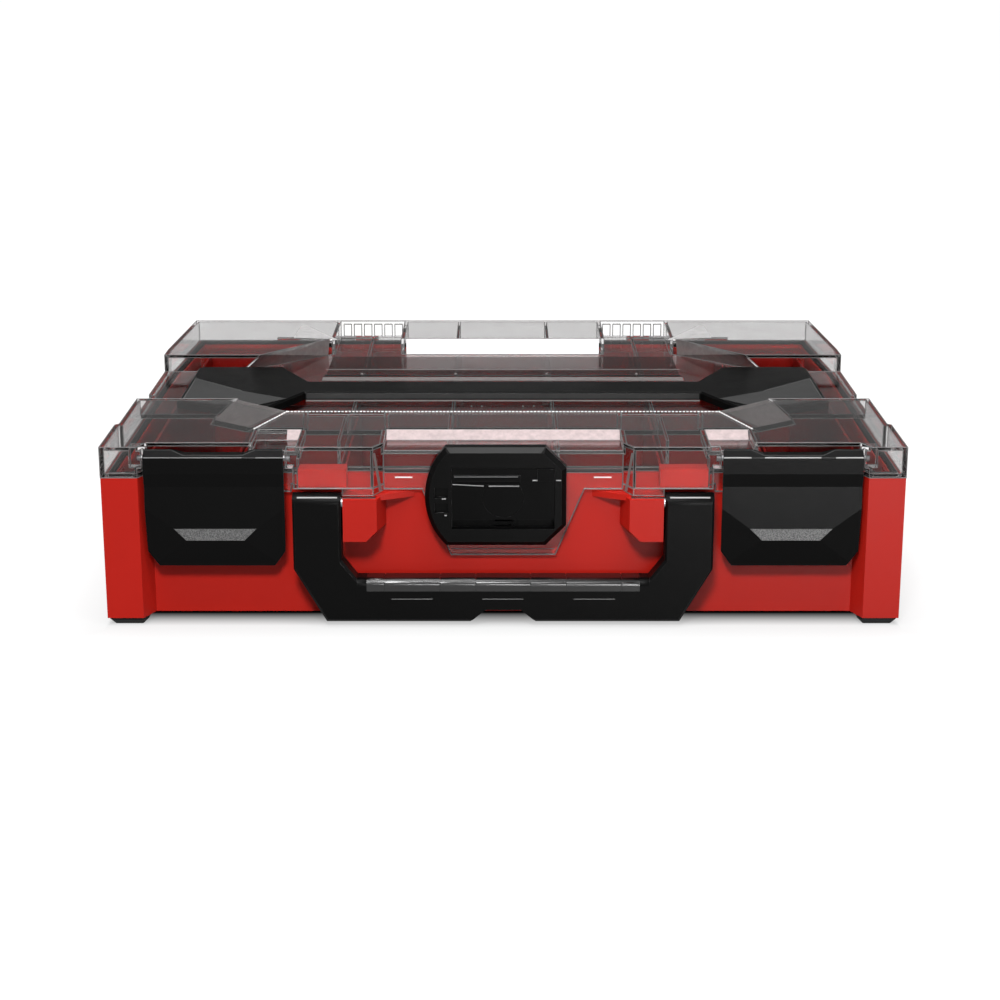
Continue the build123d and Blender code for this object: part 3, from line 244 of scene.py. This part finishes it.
# Points that the lamps aim at
CASE_MIDDLE = (0, 0, 60)
CASE_FRONT = (0, -200, 60)

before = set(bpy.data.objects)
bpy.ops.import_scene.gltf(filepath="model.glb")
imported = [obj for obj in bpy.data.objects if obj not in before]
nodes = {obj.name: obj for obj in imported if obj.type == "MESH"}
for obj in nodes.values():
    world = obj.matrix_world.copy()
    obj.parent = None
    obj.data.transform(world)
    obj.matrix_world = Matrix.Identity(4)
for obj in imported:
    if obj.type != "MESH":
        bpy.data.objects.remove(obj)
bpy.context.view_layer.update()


def linear(colour, alpha=1.0):
    """Screen colour from 0 to 255 as linear light."""
    values = []
    for part in colour:
        share = part / 255
        values.append(share / 12.92 if share <= 0.04045 else ((share + 0.055) / 1.055) ** 2.4)
    return (*values, alpha)


def new_material(name):
    """Empty node material with its output node."""
    material = bpy.data.materials.new(name)
    material.use_nodes = True
    tree = material.node_tree
    tree.nodes.clear()
    output = tree.nodes.new("ShaderNodeOutputMaterial")
    return material, tree, output


def add_node(tree, kind, **values):
    """Node with some of its inputs set by name."""
    node = tree.nodes.new(kind)
    for name, value in values.items():
        node.inputs[name.replace("_", " ")].default_value = value
    return node


def noise(tree, scale, detail=3.0, roughness=0.5):
    """Noise that stays fixed to the object's own place."""
    place = tree.nodes.new("ShaderNodeTexCoord")
    texture = add_node(tree, "ShaderNodeTexNoise", Scale=scale, Detail=detail, Roughness=roughness)
    tree.links.new(place.outputs["Object"], texture.inputs["Vector"])
    return texture


def ramp(tree, source, low, high, colours):
    """Colour ramp over a noise, from one colour to the other."""
    node = tree.nodes.new("ShaderNodeValToRGB")
    node.color_ramp.elements[0].position = low
    node.color_ramp.elements[1].position = high
    node.color_ramp.elements[0].color = colours[0]
    node.color_ramp.elements[1].color = colours[1]
    tree.links.new(source, node.inputs["Fac"])
    return node


def shade(colour, factor):
    """Linear colour made lighter or darker."""
    return tuple(part * factor for part in linear(colour)[:3]) + (1.0,)


def moulded_plastic(name):
    """Moulded plastic: slight colour drift, a fine eroded grain and uneven gloss."""
    colour, roughness, grain, depth, variation, gloss_level = MOULDED[name]
    material, tree, output = new_material(name)
    shader = add_node(tree, "ShaderNodeBsdfPrincipled", Roughness=roughness)
    shader.inputs["Specular IOR Level"].default_value = gloss_level
    drift = noise(tree, 9.0, 4.0)
    colours = (shade(colour, 1 - variation), shade(colour, 1 + variation))
    tint = ramp(tree, drift.outputs["Fac"], 0.3, 0.7, colours)
    tree.links.new(tint.outputs["Color"], shader.inputs["Base Color"])
    gloss = tree.nodes.new("ShaderNodeMapRange")
    gloss.inputs["To Min"].default_value = roughness - 0.05
    gloss.inputs["To Max"].default_value = roughness + 0.07
    patches = noise(tree, 60.0, 5.0, 0.6)
    tree.links.new(patches.outputs["Fac"], gloss.inputs["Value"])
    tree.links.new(gloss.outputs["Result"], shader.inputs["Roughness"])
    texture = noise(tree, grain, 2.0)
    bump = add_node(tree, "ShaderNodeBump", Strength=0.35, Distance=depth)
    tree.links.new(texture.outputs["Fac"], bump.inputs["Height"])
    tree.links.new(bump.outputs["Normal"], shader.inputs["Normal"])
    tree.links.new(shader.outputs["BSDF"], output.inputs["Surface"])
    return material


def clear_plastic(name):
    """Clear moulded lid: light passes through it to what lies inside."""
    material, tree, output = new_material(name)
    shader = add_node(tree, "ShaderNodeBsdfPrincipled", Roughness=0.02, IOR=1.35)
    shader.inputs["Transmission Weight"].default_value = 1.0
    streaks = noise(tree, 30.0, 3.0)
    haze = ramp(tree, streaks.outputs["Fac"], 0.35, 0.75, ((0.93, 0.92, 0.92, 1), (0.98, 0.98, 0.98, 1)))
    tree.links.new(haze.outputs["Color"], shader.inputs["Base Color"])
    ripple = noise(tree, 14.0, 2.0)
    bump = add_node(tree, "ShaderNodeBump", Strength=0.05, Distance=0.001)
    tree.links.new(ripple.outputs["Fac"], bump.inputs["Height"])
    tree.links.new(bump.outputs["Normal"], shader.inputs["Normal"])
    passed = (CLEAR_SHADOW_SHARE, CLEAR_SHADOW_SHARE, CLEAR_SHADOW_SHARE, 1)
    passing = add_node(tree, "ShaderNodeBsdfTransparent", Color=passed)
    path = tree.nodes.new("ShaderNodeLightPath")
    mix = tree.nodes.new("ShaderNodeMixShader")
    tree.links.new(path.outputs["Is Shadow Ray"], mix.inputs["Fac"])
    tree.links.new(shader.outputs["BSDF"], mix.inputs[1])
    tree.links.new(passing.outputs["BSDF"], mix.inputs[2])
    tree.links.new(mix.outputs["Shader"], output.inputs["Surface"])
    return material


def see_through(name):
    """Partly see-through milky plastic, for the painted highlights, sheen and shade on the lid."""
    colour, share, roughness, grain = MILKY[name]
    material, tree, output = new_material(name)
    shader = add_node(tree, "ShaderNodeBsdfPrincipled", Roughness=roughness)
    clouds = noise(tree, grain, 4.0, 0.6)
    tint = ramp(tree, clouds.outputs["Fac"], 0.3, 0.7, (shade(colour, 0.8), shade(colour, 1.1)))
    tree.links.new(tint.outputs["Color"], shader.inputs["Base Color"])
    passing = add_node(tree, "ShaderNodeBsdfTransparent", Color=(0.95, 0.95, 0.95, 1))
    mix = tree.nodes.new("ShaderNodeMixShader")
    mix.inputs["Fac"].default_value = share
    tree.links.new(passing.outputs["BSDF"], mix.inputs[1])
    tree.links.new(shader.outputs["BSDF"], mix.inputs[2])
    tree.links.new(mix.outputs["Shader"], output.inputs["Surface"])
    return material


def painted_glow_wall(name):
    """Thick clear wall, painted white with a glow of its own."""
    material, tree, output = new_material(name)
    shader = add_node(tree, "ShaderNodeBsdfPrincipled", Roughness=0.3)
    shader.inputs["Emission Color"].default_value = (1, 1, 1, 1)
    shader.inputs["Emission Strength"].default_value = WALL_GLOW
    clouds = noise(tree, 90.0, 4.0, 0.6)
    tint = ramp(tree, clouds.outputs["Fac"], 0.3, 0.7, (shade(HIGHLIGHT_WHITE, 0.94), shade(HIGHLIGHT_WHITE, 1.0)))
    tree.links.new(tint.outputs["Color"], shader.inputs["Base Color"])
    tree.links.new(shader.outputs["BSDF"], output.inputs["Surface"])
    return material


def speckled_grip(name):
    """Coarse sparkling grain of the grip strips."""
    material, tree, output = new_material(name)
    shader = add_node(tree, "ShaderNodeBsdfPrincipled", Roughness=0.5)
    grain = noise(tree, 1400.0, 2.0, 0.6)
    tint = ramp(tree, grain.outputs["Fac"], 0.35, 0.68, (shade(GRIP_GREY, 0.35), shade(GRIP_GREY, 1.9)))
    tree.links.new(tint.outputs["Color"], shader.inputs["Base Color"])
    bump = add_node(tree, "ShaderNodeBump", Strength=0.6, Distance=0.0004)
    tree.links.new(grain.outputs["Fac"], bump.inputs["Height"])
    tree.links.new(bump.outputs["Normal"], shader.inputs["Normal"])
    tree.links.new(shader.outputs["BSDF"], output.inputs["Surface"])
    return material


def plated_steel(name):
    """Brushed plating of screws and pins."""
    material, tree, output = new_material(name)
    shader = add_node(tree, "ShaderNodeBsdfPrincipled", Metallic=1.0, Roughness=0.32)
    brushing = noise(tree, 500.0, 3.0)
    tint = ramp(tree, brushing.outputs["Fac"], 0.3, 0.7, (shade(STEEL, 0.85), shade(STEEL, 1.1)))
    tree.links.new(tint.outputs["Color"], shader.inputs["Base Color"])
    bump = add_node(tree, "ShaderNodeBump", Strength=0.2, Distance=0.0002)
    tree.links.new(brushing.outputs["Fac"], bump.inputs["Height"])
    tree.links.new(bump.outputs["Normal"], shader.inputs["Normal"])
    tree.links.new(shader.outputs["BSDF"], output.inputs["Surface"])
    return material


def dress(node, material, edge=0.0, edge_material=None):
    """CAD node with a new material and, where asked, eased edges in a lighter, glossier finish that paints a
    highlight along them.
    """
    piece = nodes[node]
    piece.data.materials.clear()
    piece.data.materials.append(material)
    if edge == 0:
        return
    weld = piece.modifiers.new("weld", "WELD")
    weld.merge_threshold = SAME_PLACE
    ease = piece.modifiers.new("ease", "BEVEL")
    ease.width = edge * MM
    ease.segments = 1
    ease.limit_method = "ANGLE"
    ease.angle_limit = math.radians(EASE_ANGLE)
    piece.data.materials.append(edge_material)
    ease.material = 1


def math_node(tree, operation, first, second):
    """Maths on two values, each a number or another node's output."""
    node = tree.nodes.new("ShaderNodeMath")
    node.operation = operation
    for index, value in enumerate((first, second)):
        if isinstance(value, (int, float)):
            node.inputs[index].default_value = value
        else:
            tree.links.new(value, node.inputs[index])
    return node.outputs["Value"]


def in_plain_view(tree):
    """1 for rays from the camera that went straight, through clear plastic or off a gloss."""
    path = tree.nodes.new("ShaderNodeLightPath")
    direct = math_node(tree, "MAXIMUM", path.outputs["Is Camera Ray"], path.outputs["Is Transmission Ray"])
    seen = math_node(tree, "MAXIMUM", direct, path.outputs["Is Glossy Ray"])
    first_hit = math_node(tree, "LESS_THAN", path.outputs["Diffuse Depth"], 0.5)
    return math_node(tree, "MULTIPLY", seen, first_hit)


def blend_values(tree, share, start, end):
    """Start and end mixed by a share from 0 to 1."""
    kept = math_node(tree, "MULTIPLY", math_node(tree, "SUBTRACT", 1.0, share), start)
    return math_node(tree, "ADD", kept, math_node(tree, "MULTIPLY", share, end))


def mirrored_or(tree, mirrored, straight):
    """One value for rays that a gloss has turned, the other for the rest."""
    path = tree.nodes.new("ShaderNodeLightPath")
    turned = math_node(tree, "GREATER_THAN", path.outputs["Glossy Depth"], 0.5)
    return blend_values(tree, turned, straight, mirrored)


def white_for_camera(tree, lit, strength):
    """Adds a plain glow that lights nothing, and shows only in view, reflections and clear plastic."""
    glow = tree.nodes.new("ShaderNodeEmission")
    share = mirrored_or(tree, FLOOR_MIRRORED, 1.0)
    seen = math_node(tree, "MULTIPLY", in_plain_view(tree), share)
    tree.links.new(math_node(tree, "MULTIPLY", seen, strength), glow.inputs["Strength"])
    total = tree.nodes.new("ShaderNodeAddShader")
    tree.links.new(lit.outputs[0], total.inputs[0])
    tree.links.new(glow.outputs[0], total.inputs[1])
    return total


def map_range(tree, value, low, high, start, end):
    """Value spread from one range to another, held at the ends."""
    node = tree.nodes.new("ShaderNodeMapRange")
    node.inputs["From Min"].default_value = low
    node.inputs["From Max"].default_value = high
    node.inputs["To Min"].default_value = start
    node.inputs["To Max"].default_value = end
    tree.links.new(value, node.inputs["Value"])
    return node.outputs["Result"]


def painted_contact_shadow(tree, position):
    """Painted shadow: 0 under the case and near its front, rising to 1 away from it."""
    parts = tree.nodes.new("ShaderNodeSeparateXYZ")
    tree.links.new(position, parts.inputs["Vector"])
    steep = map_range(tree, parts.outputs["Y"], SHADE_FRONT, SHADE_FRONT - SHADE_REACH, 0.0, 1.0)
    soft = map_range(tree, parts.outputs["Y"], SHADE_FRONT, SHADE_FRONT - SHADE_FADE, SHADE_FRONT_LEVEL, 1.0)
    front = math_node(tree, "MINIMUM", steep, soft)
    aside = math_node(tree, "ABSOLUTE", parts.outputs["X"], 0.0)
    near_side = map_range(tree, aside, SHADE_SIDE - SHADE_SIDE_STEEP, SHADE_SIDE, 0.0, SHADE_SIDE_LEVEL)
    far_side = map_range(tree, aside, SHADE_SIDE, SHADE_SIDE + SHADE_SIDE_SOFT, 0.0, 1.0 - SHADE_SIDE_LEVEL)
    side = math_node(tree, "ADD", near_side, far_side)
    back = CASE_DEPTH / 2 * MM
    rear = map_range(tree, parts.outputs["Y"], back, back + SHADE_REAR, 0.0, 1.0)
    return math_node(tree, "MAXIMUM", math_node(tree, "MAXIMUM", front, side), rear)


def make_floor():
    """Plain floor that the camera sees white, with the case's real shadow from the lamps and a painted
    contact shadow on it.
    """
    mesh = bpy.data.meshes.new("floor")
    reach = 8.0
    corners = [(-reach, -reach, 0), (reach, -reach, 0), (reach, reach, 0), (-reach, reach, 0)]
    mesh.from_pydata(corners, [], [(0, 1, 2, 3)])
    floor = bpy.data.objects.new("floor", mesh)
    bpy.context.scene.collection.objects.link(floor)
    material, tree, output = new_material("floor")
    lit = add_node(tree, "ShaderNodeBsdfDiffuse", Color=linear(FLOOR))
    place = tree.nodes.new("ShaderNodeTexCoord")
    distance = tree.nodes.new("ShaderNodeVectorMath")
    distance.operation = "LENGTH"
    tree.links.new(place.outputs["Object"], distance.inputs[0])
    glow = map_range(tree, distance.outputs["Value"], *FLOOR_GLOW_REACH, *FLOOR_GLOW)
    total = white_for_camera(tree, lit, glow)
    dark = add_node(tree, "ShaderNodeEmission", Strength=0.0)
    mix = tree.nodes.new("ShaderNodeMixShader")
    tree.links.new(painted_contact_shadow(tree, place.outputs["Object"]), mix.inputs["Fac"])
    tree.links.new(dark.outputs[0], mix.inputs[1])
    tree.links.new(total.outputs[0], mix.inputs[2])
    tree.links.new(mix.outputs["Shader"], output.inputs["Surface"])
    mesh.materials.append(material)


def make_world():
    """White surroundings that give little light and dimmer reflections."""
    world = bpy.data.worlds.new("studio")
    bpy.context.scene.world = world
    world.use_nodes = True
    tree = world.node_tree
    tree.nodes.clear()
    output = tree.nodes.new("ShaderNodeOutputWorld")
    place = tree.nodes.new("ShaderNodeTexCoord")
    parts = tree.nodes.new("ShaderNodeSeparateXYZ")
    tree.links.new(place.outputs["Generated"], parts.inputs["Vector"])
    mirrored = map_range(tree, parts.outputs["Y"], -0.2, 0.3, WORLD_MIRRORED_FRONT, WORLD_MIRRORED_REAR)
    strength = blend_values(tree, in_plain_view(tree), WORLD_LIGHT, mirrored_or(tree, mirrored, 1.0))
    back = add_node(tree, "ShaderNodeBackground", Color=(1, 1, 1, 1))
    tree.links.new(strength, back.inputs["Strength"])
    tree.links.new(back.outputs["Background"], output.inputs["Surface"])


def area_light(name, place, target, size, power):
    """Soft rectangular lamp aimed at a point, places in millimetres."""
    data = bpy.data.lights.new(name, "AREA")
    data.shape = "RECTANGLE"
    data.size = size[0] * MM
    data.size_y = size[1] * MM
    data.energy = power
    lamp = bpy.data.objects.new(name, data)
    bpy.context.scene.collection.objects.link(lamp)
    lamp.location = Vector(place) * MM
    aim = (Vector(target) - Vector(place)) * MM
    lamp.rotation_mode = "QUATERNION"
    lamp.rotation_quaternion = aim.to_track_quat("-Z", "Y")
    lamp.visible_transmission = False
    return lamp


def make_lights():
    """Soft studio lamps above, in front, at the right and behind."""
    area_light("top_softbox", (0, 250, 1600), CASE_MIDDLE, (1800, 1000), 10)
    area_light("top_strip", (0, -640, 1600), CASE_FRONT, (1300, 260), 12)
    area_light("front_key", (-150, -1500, 1350), CASE_FRONT, (360, 300), 25)
    area_light("front_fill", (0, -2200, 700), CASE_FRONT, (1800, 1000), 1.5)
    area_light("right_softbox", (1500, -700, 800), (0, -100, 60), (900, 900), 3)
    rear = area_light("rear_fill", (300, 2300, 1100), (0, 100, 60), (1600, 1000), 26)
    rear.visible_glossy = False
    gloss = area_light("low_right_strip", (340, -900, 65), (200, -200, 60), (460, 120), 4)
    gloss.visible_diffuse = False


def make_camera():
    """Camera at the photograph's place, tilt and angle of view."""
    data = bpy.data.cameras.new("camera")
    data.lens = CAMERA_LENS
    data.sensor_width = SENSOR_WIDTH
    data.clip_start = 0.05
    data.clip_end = 30
    camera = bpy.data.objects.new("camera", data)
    bpy.context.scene.collection.objects.link(camera)
    camera.location = Vector(CAMERA_PLACE) * MM
    camera.rotation_euler = (math.radians(90 - CAMERA_PITCH), 0, 0)
    bpy.context.scene.camera = camera


def dress_nodes(clear):
    """Every CAD node in its own finish."""
    inner = moulded_plastic("bin_plastic")
    black = moulded_plastic("black_plastic")
    lock = moulded_plastic("lock_plastic")
    rubber = moulded_plastic("rubber")
    strip = speckled_grip("grip_strip")
    steel = plated_steel("steel")
    black_edge = moulded_plastic("black_edge")
    for name in nodes:
        if name.startswith(("bin_", "side_bin")):
            dress(name, inner)
        elif "pin" in name or "screws" in name:
            dress(name, steel)
        elif "pad" in name:
            dress(name, strip)
        elif name == "handle_grip":
            dress(name, moulded_plastic("soft_grip"), SMALL_EASE, black_edge)
        elif name.startswith("foot_") or name == "lid_seal":
            dress(name, rubber)
        elif name.startswith("latch") or name in ("handle", "stacking_bar", "stack_lock_housing"):
            dress(name, black, BLACK_EASE, black_edge)
        elif name == "stack_lock_slider":
            dress(name, lock, SMALL_EASE, black_edge)
        elif name == "stack_lock_spring":
            dress(name, lock)
        elif name == "base_shell":
            dress(name, moulded_plastic("red_plastic"), BASE_EASE, moulded_plastic("red_edge"))
        elif name == "lid_shell":
            dress(name, clear)


def at(x, depth, height):
    """Point in metres from millimetres, its depth counted from the front of the posts."""
    return Vector((x, depth - CASE_DEPTH / 2, height)) * MM


def new_piece(name, bm, material, body="lid"):
    """Object made from a bmesh, with its material, body and slot."""
    mesh = bpy.data.meshes.new(name)
    bmesh.ops.recalc_face_normals(bm, faces=bm.faces)
    bm.to_mesh(mesh)
    bm.free()
    piece = bpy.data.objects.new(name, mesh)
    bpy.context.scene.collection.objects.link(piece)
    mesh.materials.append(material)
    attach(piece, body)
    return piece


def add_plate(bm, points, thickness):
    """Thin plate under a flat outline, with its back face moved along the normal."""
    front = [bm.verts.new(at(*point)) for point in points]
    face = bm.faces.new(front)
    face.normal_update()
    back = [bm.verts.new(vertex.co + face.normal * thickness * MM) for vertex in front]
    count = len(front)
    for index in range(count):
        after = (index + 1) % count
        bm.faces.new((front[index], front[after], back[after], back[index]))
    bm.faces.new(list(reversed(back)))


def add_pair(bm, points, thickness):
    """The same plate on the right and, wound the other way, on the left."""
    add_plate(bm, points, thickness)
    add_plate(bm, [(-x, depth, height) for x, depth, height in reversed(points)], thickness)


def add_panel(bm, low, high, start, end, thickness):
    """Plate from one x to another, between two edges given as depth and height."""
    add_plate(bm, [(low, *start), (low, *end), (high, *end), (high, *start)], thickness)


def add_strip(bm, half, near, far, height):
    """Strip across the case on a level face."""
    add_panel(bm, -half, half, (near, height), (far, height), -THIN_PLATE)


def add_dome(bm, x, depth, height, radius):
    """Small dome on a level face."""
    rings = 3
    sides = 10
    rows = []
    for ring in range(rings):
        rise = math.pi / 2 * ring / rings
        row = []
        for side in range(sides):
            turn = 2 * math.pi * side / sides
            reach = radius * math.cos(rise)
            row.append(bm.verts.new(at(
                x + reach * math.cos(turn), depth + reach * math.sin(turn), height + radius * math.sin(rise)
            )))
        rows.append(row)
    top = bm.verts.new(at(x, depth, height + radius))
    for lower, upper in zip(rows, rows[1:]):
        for side in range(sides):
            after = (side + 1) % sides
            bm.faces.new((lower[side], lower[after], upper[after], upper[side]))
    for side in range(sides):
        bm.faces.new((rows[-1][side], rows[-1][(side + 1) % sides], top))
    bm.faces.new(list(reversed(rows[0])))


def add_rod(bm, start, end, radius):
    """Four sided rod between two points in metres."""
    along = (end - start).normalized()
    helper = Vector((0, 0, 1)) if abs(along.z) < 0.9 else Vector((1, 0, 0))
    first = along.cross(helper).normalized() * radius
    second = along.cross(first).normalized() * radius
    offsets = (first, second, -first, -second)
    low = [bm.verts.new(start + step) for step in offsets]
    high = [bm.verts.new(end + step) for step in offsets]
    for index in range(4):
        after = (index + 1) % 4
        bm.faces.new((low[index], low[after], high[after], high[index]))
    bm.faces.new(list(reversed(low)))
    bm.faces.new(high)


def lid_edges(material):
    """Painted highlight lines where the clear lid's faces meet, in place of the light that thick edges of
    clear plastic show.
    """
    source = bmesh.new()
    source.from_mesh(nodes["lid_shell"].data)
    bmesh.ops.remove_doubles(source, verts=source.verts, dist=SAME_PLACE)
    bm = bmesh.new()
    for edge in source.edges:
        if len(edge.link_faces) != 2 or edge.calc_length() < EDGE_SHORTEST * MM:
            continue
        if edge.calc_face_angle(0) < math.radians(EDGE_ANGLE):
            continue
        add_rod(bm, edge.verts[0].co, edge.verts[1].co, EDGE_RADIUS * MM)
    source.free()
    new_piece("lid_edges", bm, material)


def lid_faces(sheen_paint):
    """Painted sheen on the ramps, painted glow on the rear wall and painted highlight bands on the slopes of
    the lid.
    """
    ramps = bmesh.new()
    add_pair(ramps, FRONT_RAMP, PLATE)
    add_pair(ramps, REAR_RAMP, PLATE)
    new_piece("lid_ramps", ramps, sheen_paint)

    wall = bmesh.new()
    low = (REAR_WALL_DEPTH, REAR_WALL_LOW)
    high = (REAR_WALL_DEPTH, REAR_WALL_HIGH)
    add_panel(wall, -REAR_WALL_HALF_WIDTH, REAR_WALL_HALF_WIDTH, low, high, -PLATE)
    new_piece("lid_rear_wall", wall, painted_glow_wall("glowing_wall_paint"))

    bands = bmesh.new()
    for first, last in SLOPE_SPANS:
        add_panel(bands, first, last, SLOPE_LOW, SLOPE_HIGH, -THIN_PLATE)
    new_piece("lid_bands", bands, see_through("white_painted_sheen"))


def channel_lines(sheen_paint):
    """Painted highlight strips, dots and lines on the channel's floor and front wall, and on the tongue."""
    lines = bmesh.new()
    for strip in PALE_STRIPS:
        add_strip(lines, *strip, CHANNEL_FLOOR)
    low = (CHANNEL_FRONT, WALL_LINE_LOW)
    high = (CHANNEL_FRONT, WALL_LINE_HIGH)
    add_panel(lines, -CHANNEL_HALF_WIDTH, CHANNEL_HALF_WIDTH, low, high, PLATE)
    for depth, radius, places in HIGHLIGHT_DOT_ROWS:
        for x in places:
            add_dome(lines, x, depth, CHANNEL_FLOOR, radius)
    first, last = TONGUE_LINE
    add_rod(lines, at(*first), at(*last), TONGUE_LINE_RADIUS * MM)
    new_piece("lid_lines", lines, sheen_paint)


def corner_facets(material):
    """Painted highlight facets on the rear corners of the lid's top."""
    bm = bmesh.new()
    add_pair(bm, CORNER_FACET, THIN_PLATE)
    new_piece("lid_corner_facets", bm, material)


def channel_strip(name, strip, height, material):
    """One wide strip on the channel's floor, as a piece of its own."""
    bm = bmesh.new()
    add_strip(bm, *strip, height)
    new_piece(name, bm, material)


def dashes(bm, start, end, pitch, length, radius):
    """Row of short rods, a dashed painted highlight along an edge of the clear lid."""
    low = at(*start)
    along = at(*end) - low
    count = int(along.length / (pitch * MM))
    step = along / count
    for index in range(count):
        first = low + step * index
        add_rod(bm, first, first + step * (length / pitch), radius * MM)


def dashed_highlights(material):
    """Painted highlight dashes along the edges of the channel's front wall and of its slanted ends."""
    bm = bmesh.new()
    half = CHANNEL_HALF_WIDTH
    dashes(bm, (-half, DASH_DEPTH, DASH_HEIGHT), (half, DASH_DEPTH, DASH_HEIGHT), *FRONT_DASHES)
    x, depth, height = DASH_END
    for side in (-1, 1):
        dashes(bm, (side * half, CHANNEL_FRONT, height), (side * x, depth, height), *SLANT_DASHES)
    new_piece("lid_dashed_highlights", bm, material)


def rods(name, lines, radius, material, body, slot="black_plastic"):
    """Thin lines from point to point on one body."""
    bm = bmesh.new()
    for start, end in lines:
        add_rod(bm, at(*start), at(*end), radius * MM)
    new_piece(name, bm, material, body)


def spans(places, place):
    """Level lines at one depth and height, from one x to another."""
    return [((low, *place), (high, *place)) for low, high in places]


def both_sides(points):
    """Lines from point to point, on the left and on the right."""
    lines = []
    for side in (-1, 1):
        turned = [(side * x, depth, height) for x, depth, height in points]
        lines.extend(zip(turned, turned[1:]))
    return lines


def painted_edge_glints(glint, dim):
    """Painted glints on the edges of the black parts where they catch the light."""
    left = spans(LATCH_LEFT_EDGES, LATCH_EDGE_PLACE)
    rods("latch_left_glint", left, LATCH_LEFT_RADIUS, dim, "latch_left")
    right = spans(LATCH_RIGHT_EDGES, LATCH_EDGE_PLACE)
    rods("latch_right_glint", right, LATCH_RIGHT_RADIUS, glint, "latch_right")
    tops = spans(HANDLE_TOP_EDGES, HANDLE_TOP_PLACE)
    rods("handle_top_glints", tops, HANDLE_TOP_RADIUS, glint, "handle")
    rods("handle_groove_glints", spans(HANDLE_GROOVES, HANDLE_GROOVE_PLACE), FINE_RADIUS, dim, "handle")
    slider = ("lock_slider", "lock_plastic")
    rods("slider_glints", SLIDER_EDGES, LOCK_EDGE_RADIUS, glint, *slider)
    rods("slider_ledge_glint", spans(SLIDER_LEDGE, SLIDER_LEDGE_PLACE), FINE_RADIUS, dim, *slider)
    rods("lock_glints", LOCK_EDGES, LOCK_EDGE_RADIUS, glint, "lid")
    bevel = bmesh.new()
    add_plate(bevel, LOCK_BEVEL, SHEEN_PLATE)
    new_piece("lock_bevel_glint", bevel, moulded_plastic("soft_glint"), "lid")
    rods("slider_block_glint", SLIDER_BLOCK_EDGES, LOCK_EDGE_RADIUS, glint, *slider)


def cover_lips(clear, sheen_paint):
    """Low clear lips of the covers over the handle bosses, with painted sheen, highlight lines and glints on
    them.
    """
    lips = bmesh.new()
    add_pair(lips, LIP_FRONT, -LIP_PLATE)
    add_pair(lips, LIP_SLANT, -LIP_PLATE)
    new_piece("lid_cover_lips", lips, clear)
    bands = bmesh.new()
    add_pair(bands, COVER_BAND, SHEEN_PLATE)
    new_piece("lid_cover_bands", bands, sheen_paint)
    rods("lid_cover_lip_edges", both_sides(LIP_EDGE), LIP_EDGE_RADIUS, sheen_paint, "lid", "clear_plastic")
    spark = see_through("spark")
    rods("lid_cover_sparks", both_sides(COVER_SPARK), SPARK_RADIUS, spark, "lid", "clear_plastic")


def bar_pads(pad, glint):
    """Slightly raised front ends of the stacking bar, grey with a painted sheen, a painted highlight on their
    rim, and the same painted sheen on the bar's front.
    """
    pads = bmesh.new()
    add_pair(pads, [(x, depth, PAD_TOP) for x, depth in PAD_OUTLINE], PLATE)
    new_piece("bar_pads", pads, pad, "lid")
    rods("bar_pad_rims", both_sides(PAD_RIM), PAD_RIM_RADIUS, glint, "lid")
    front = bmesh.new()
    low = (BAR_FRONT_DEPTH, BAR_FRONT_LOW)
    high = (BAR_FRONT_DEPTH, BAR_FRONT_HIGH)
    add_panel(front, -BAR_FRONT_HALF_WIDTH, BAR_FRONT_HALF_WIDTH, low, high, BAND_PLATE)
    new_piece("bar_front_band", front, pad, "lid")


bpy.context.scene.view_settings.view_transform = "Standard"
make_camera()
make_floor()
make_world()
make_lights()
clear = clear_plastic("clear_plastic")
dress_nodes(clear)
painted_sheen = see_through("painted_sheen")
glint = moulded_plastic("glint")
dim_glint = moulded_plastic("dim_glint")
lid_edges(see_through("edge_highlight"))
lid_faces(painted_sheen)
channel_lines(painted_sheen)
corner_facets(see_through("facet_highlight"))
# Painted dark line on the channel's floor
channel_strip("lid_dark_line", DARK_STRIP, CHANNEL_FLOOR, see_through("painted_dark_line"))
dashed_highlights(see_through("dashed_highlight"))
painted_edge_glints(glint, dim_glint)
bar_pads(moulded_plastic("bar_pad"), dim_glint)
# Painted shade over the rear of the channel's floor
channel_strip("lid_channel_painted_shade", PAINTED_SHADE_STRIP, PAINTED_SHADE_HEIGHT, see_through("channel_painted_shade"))
cover_lips(clear, painted_sheen)
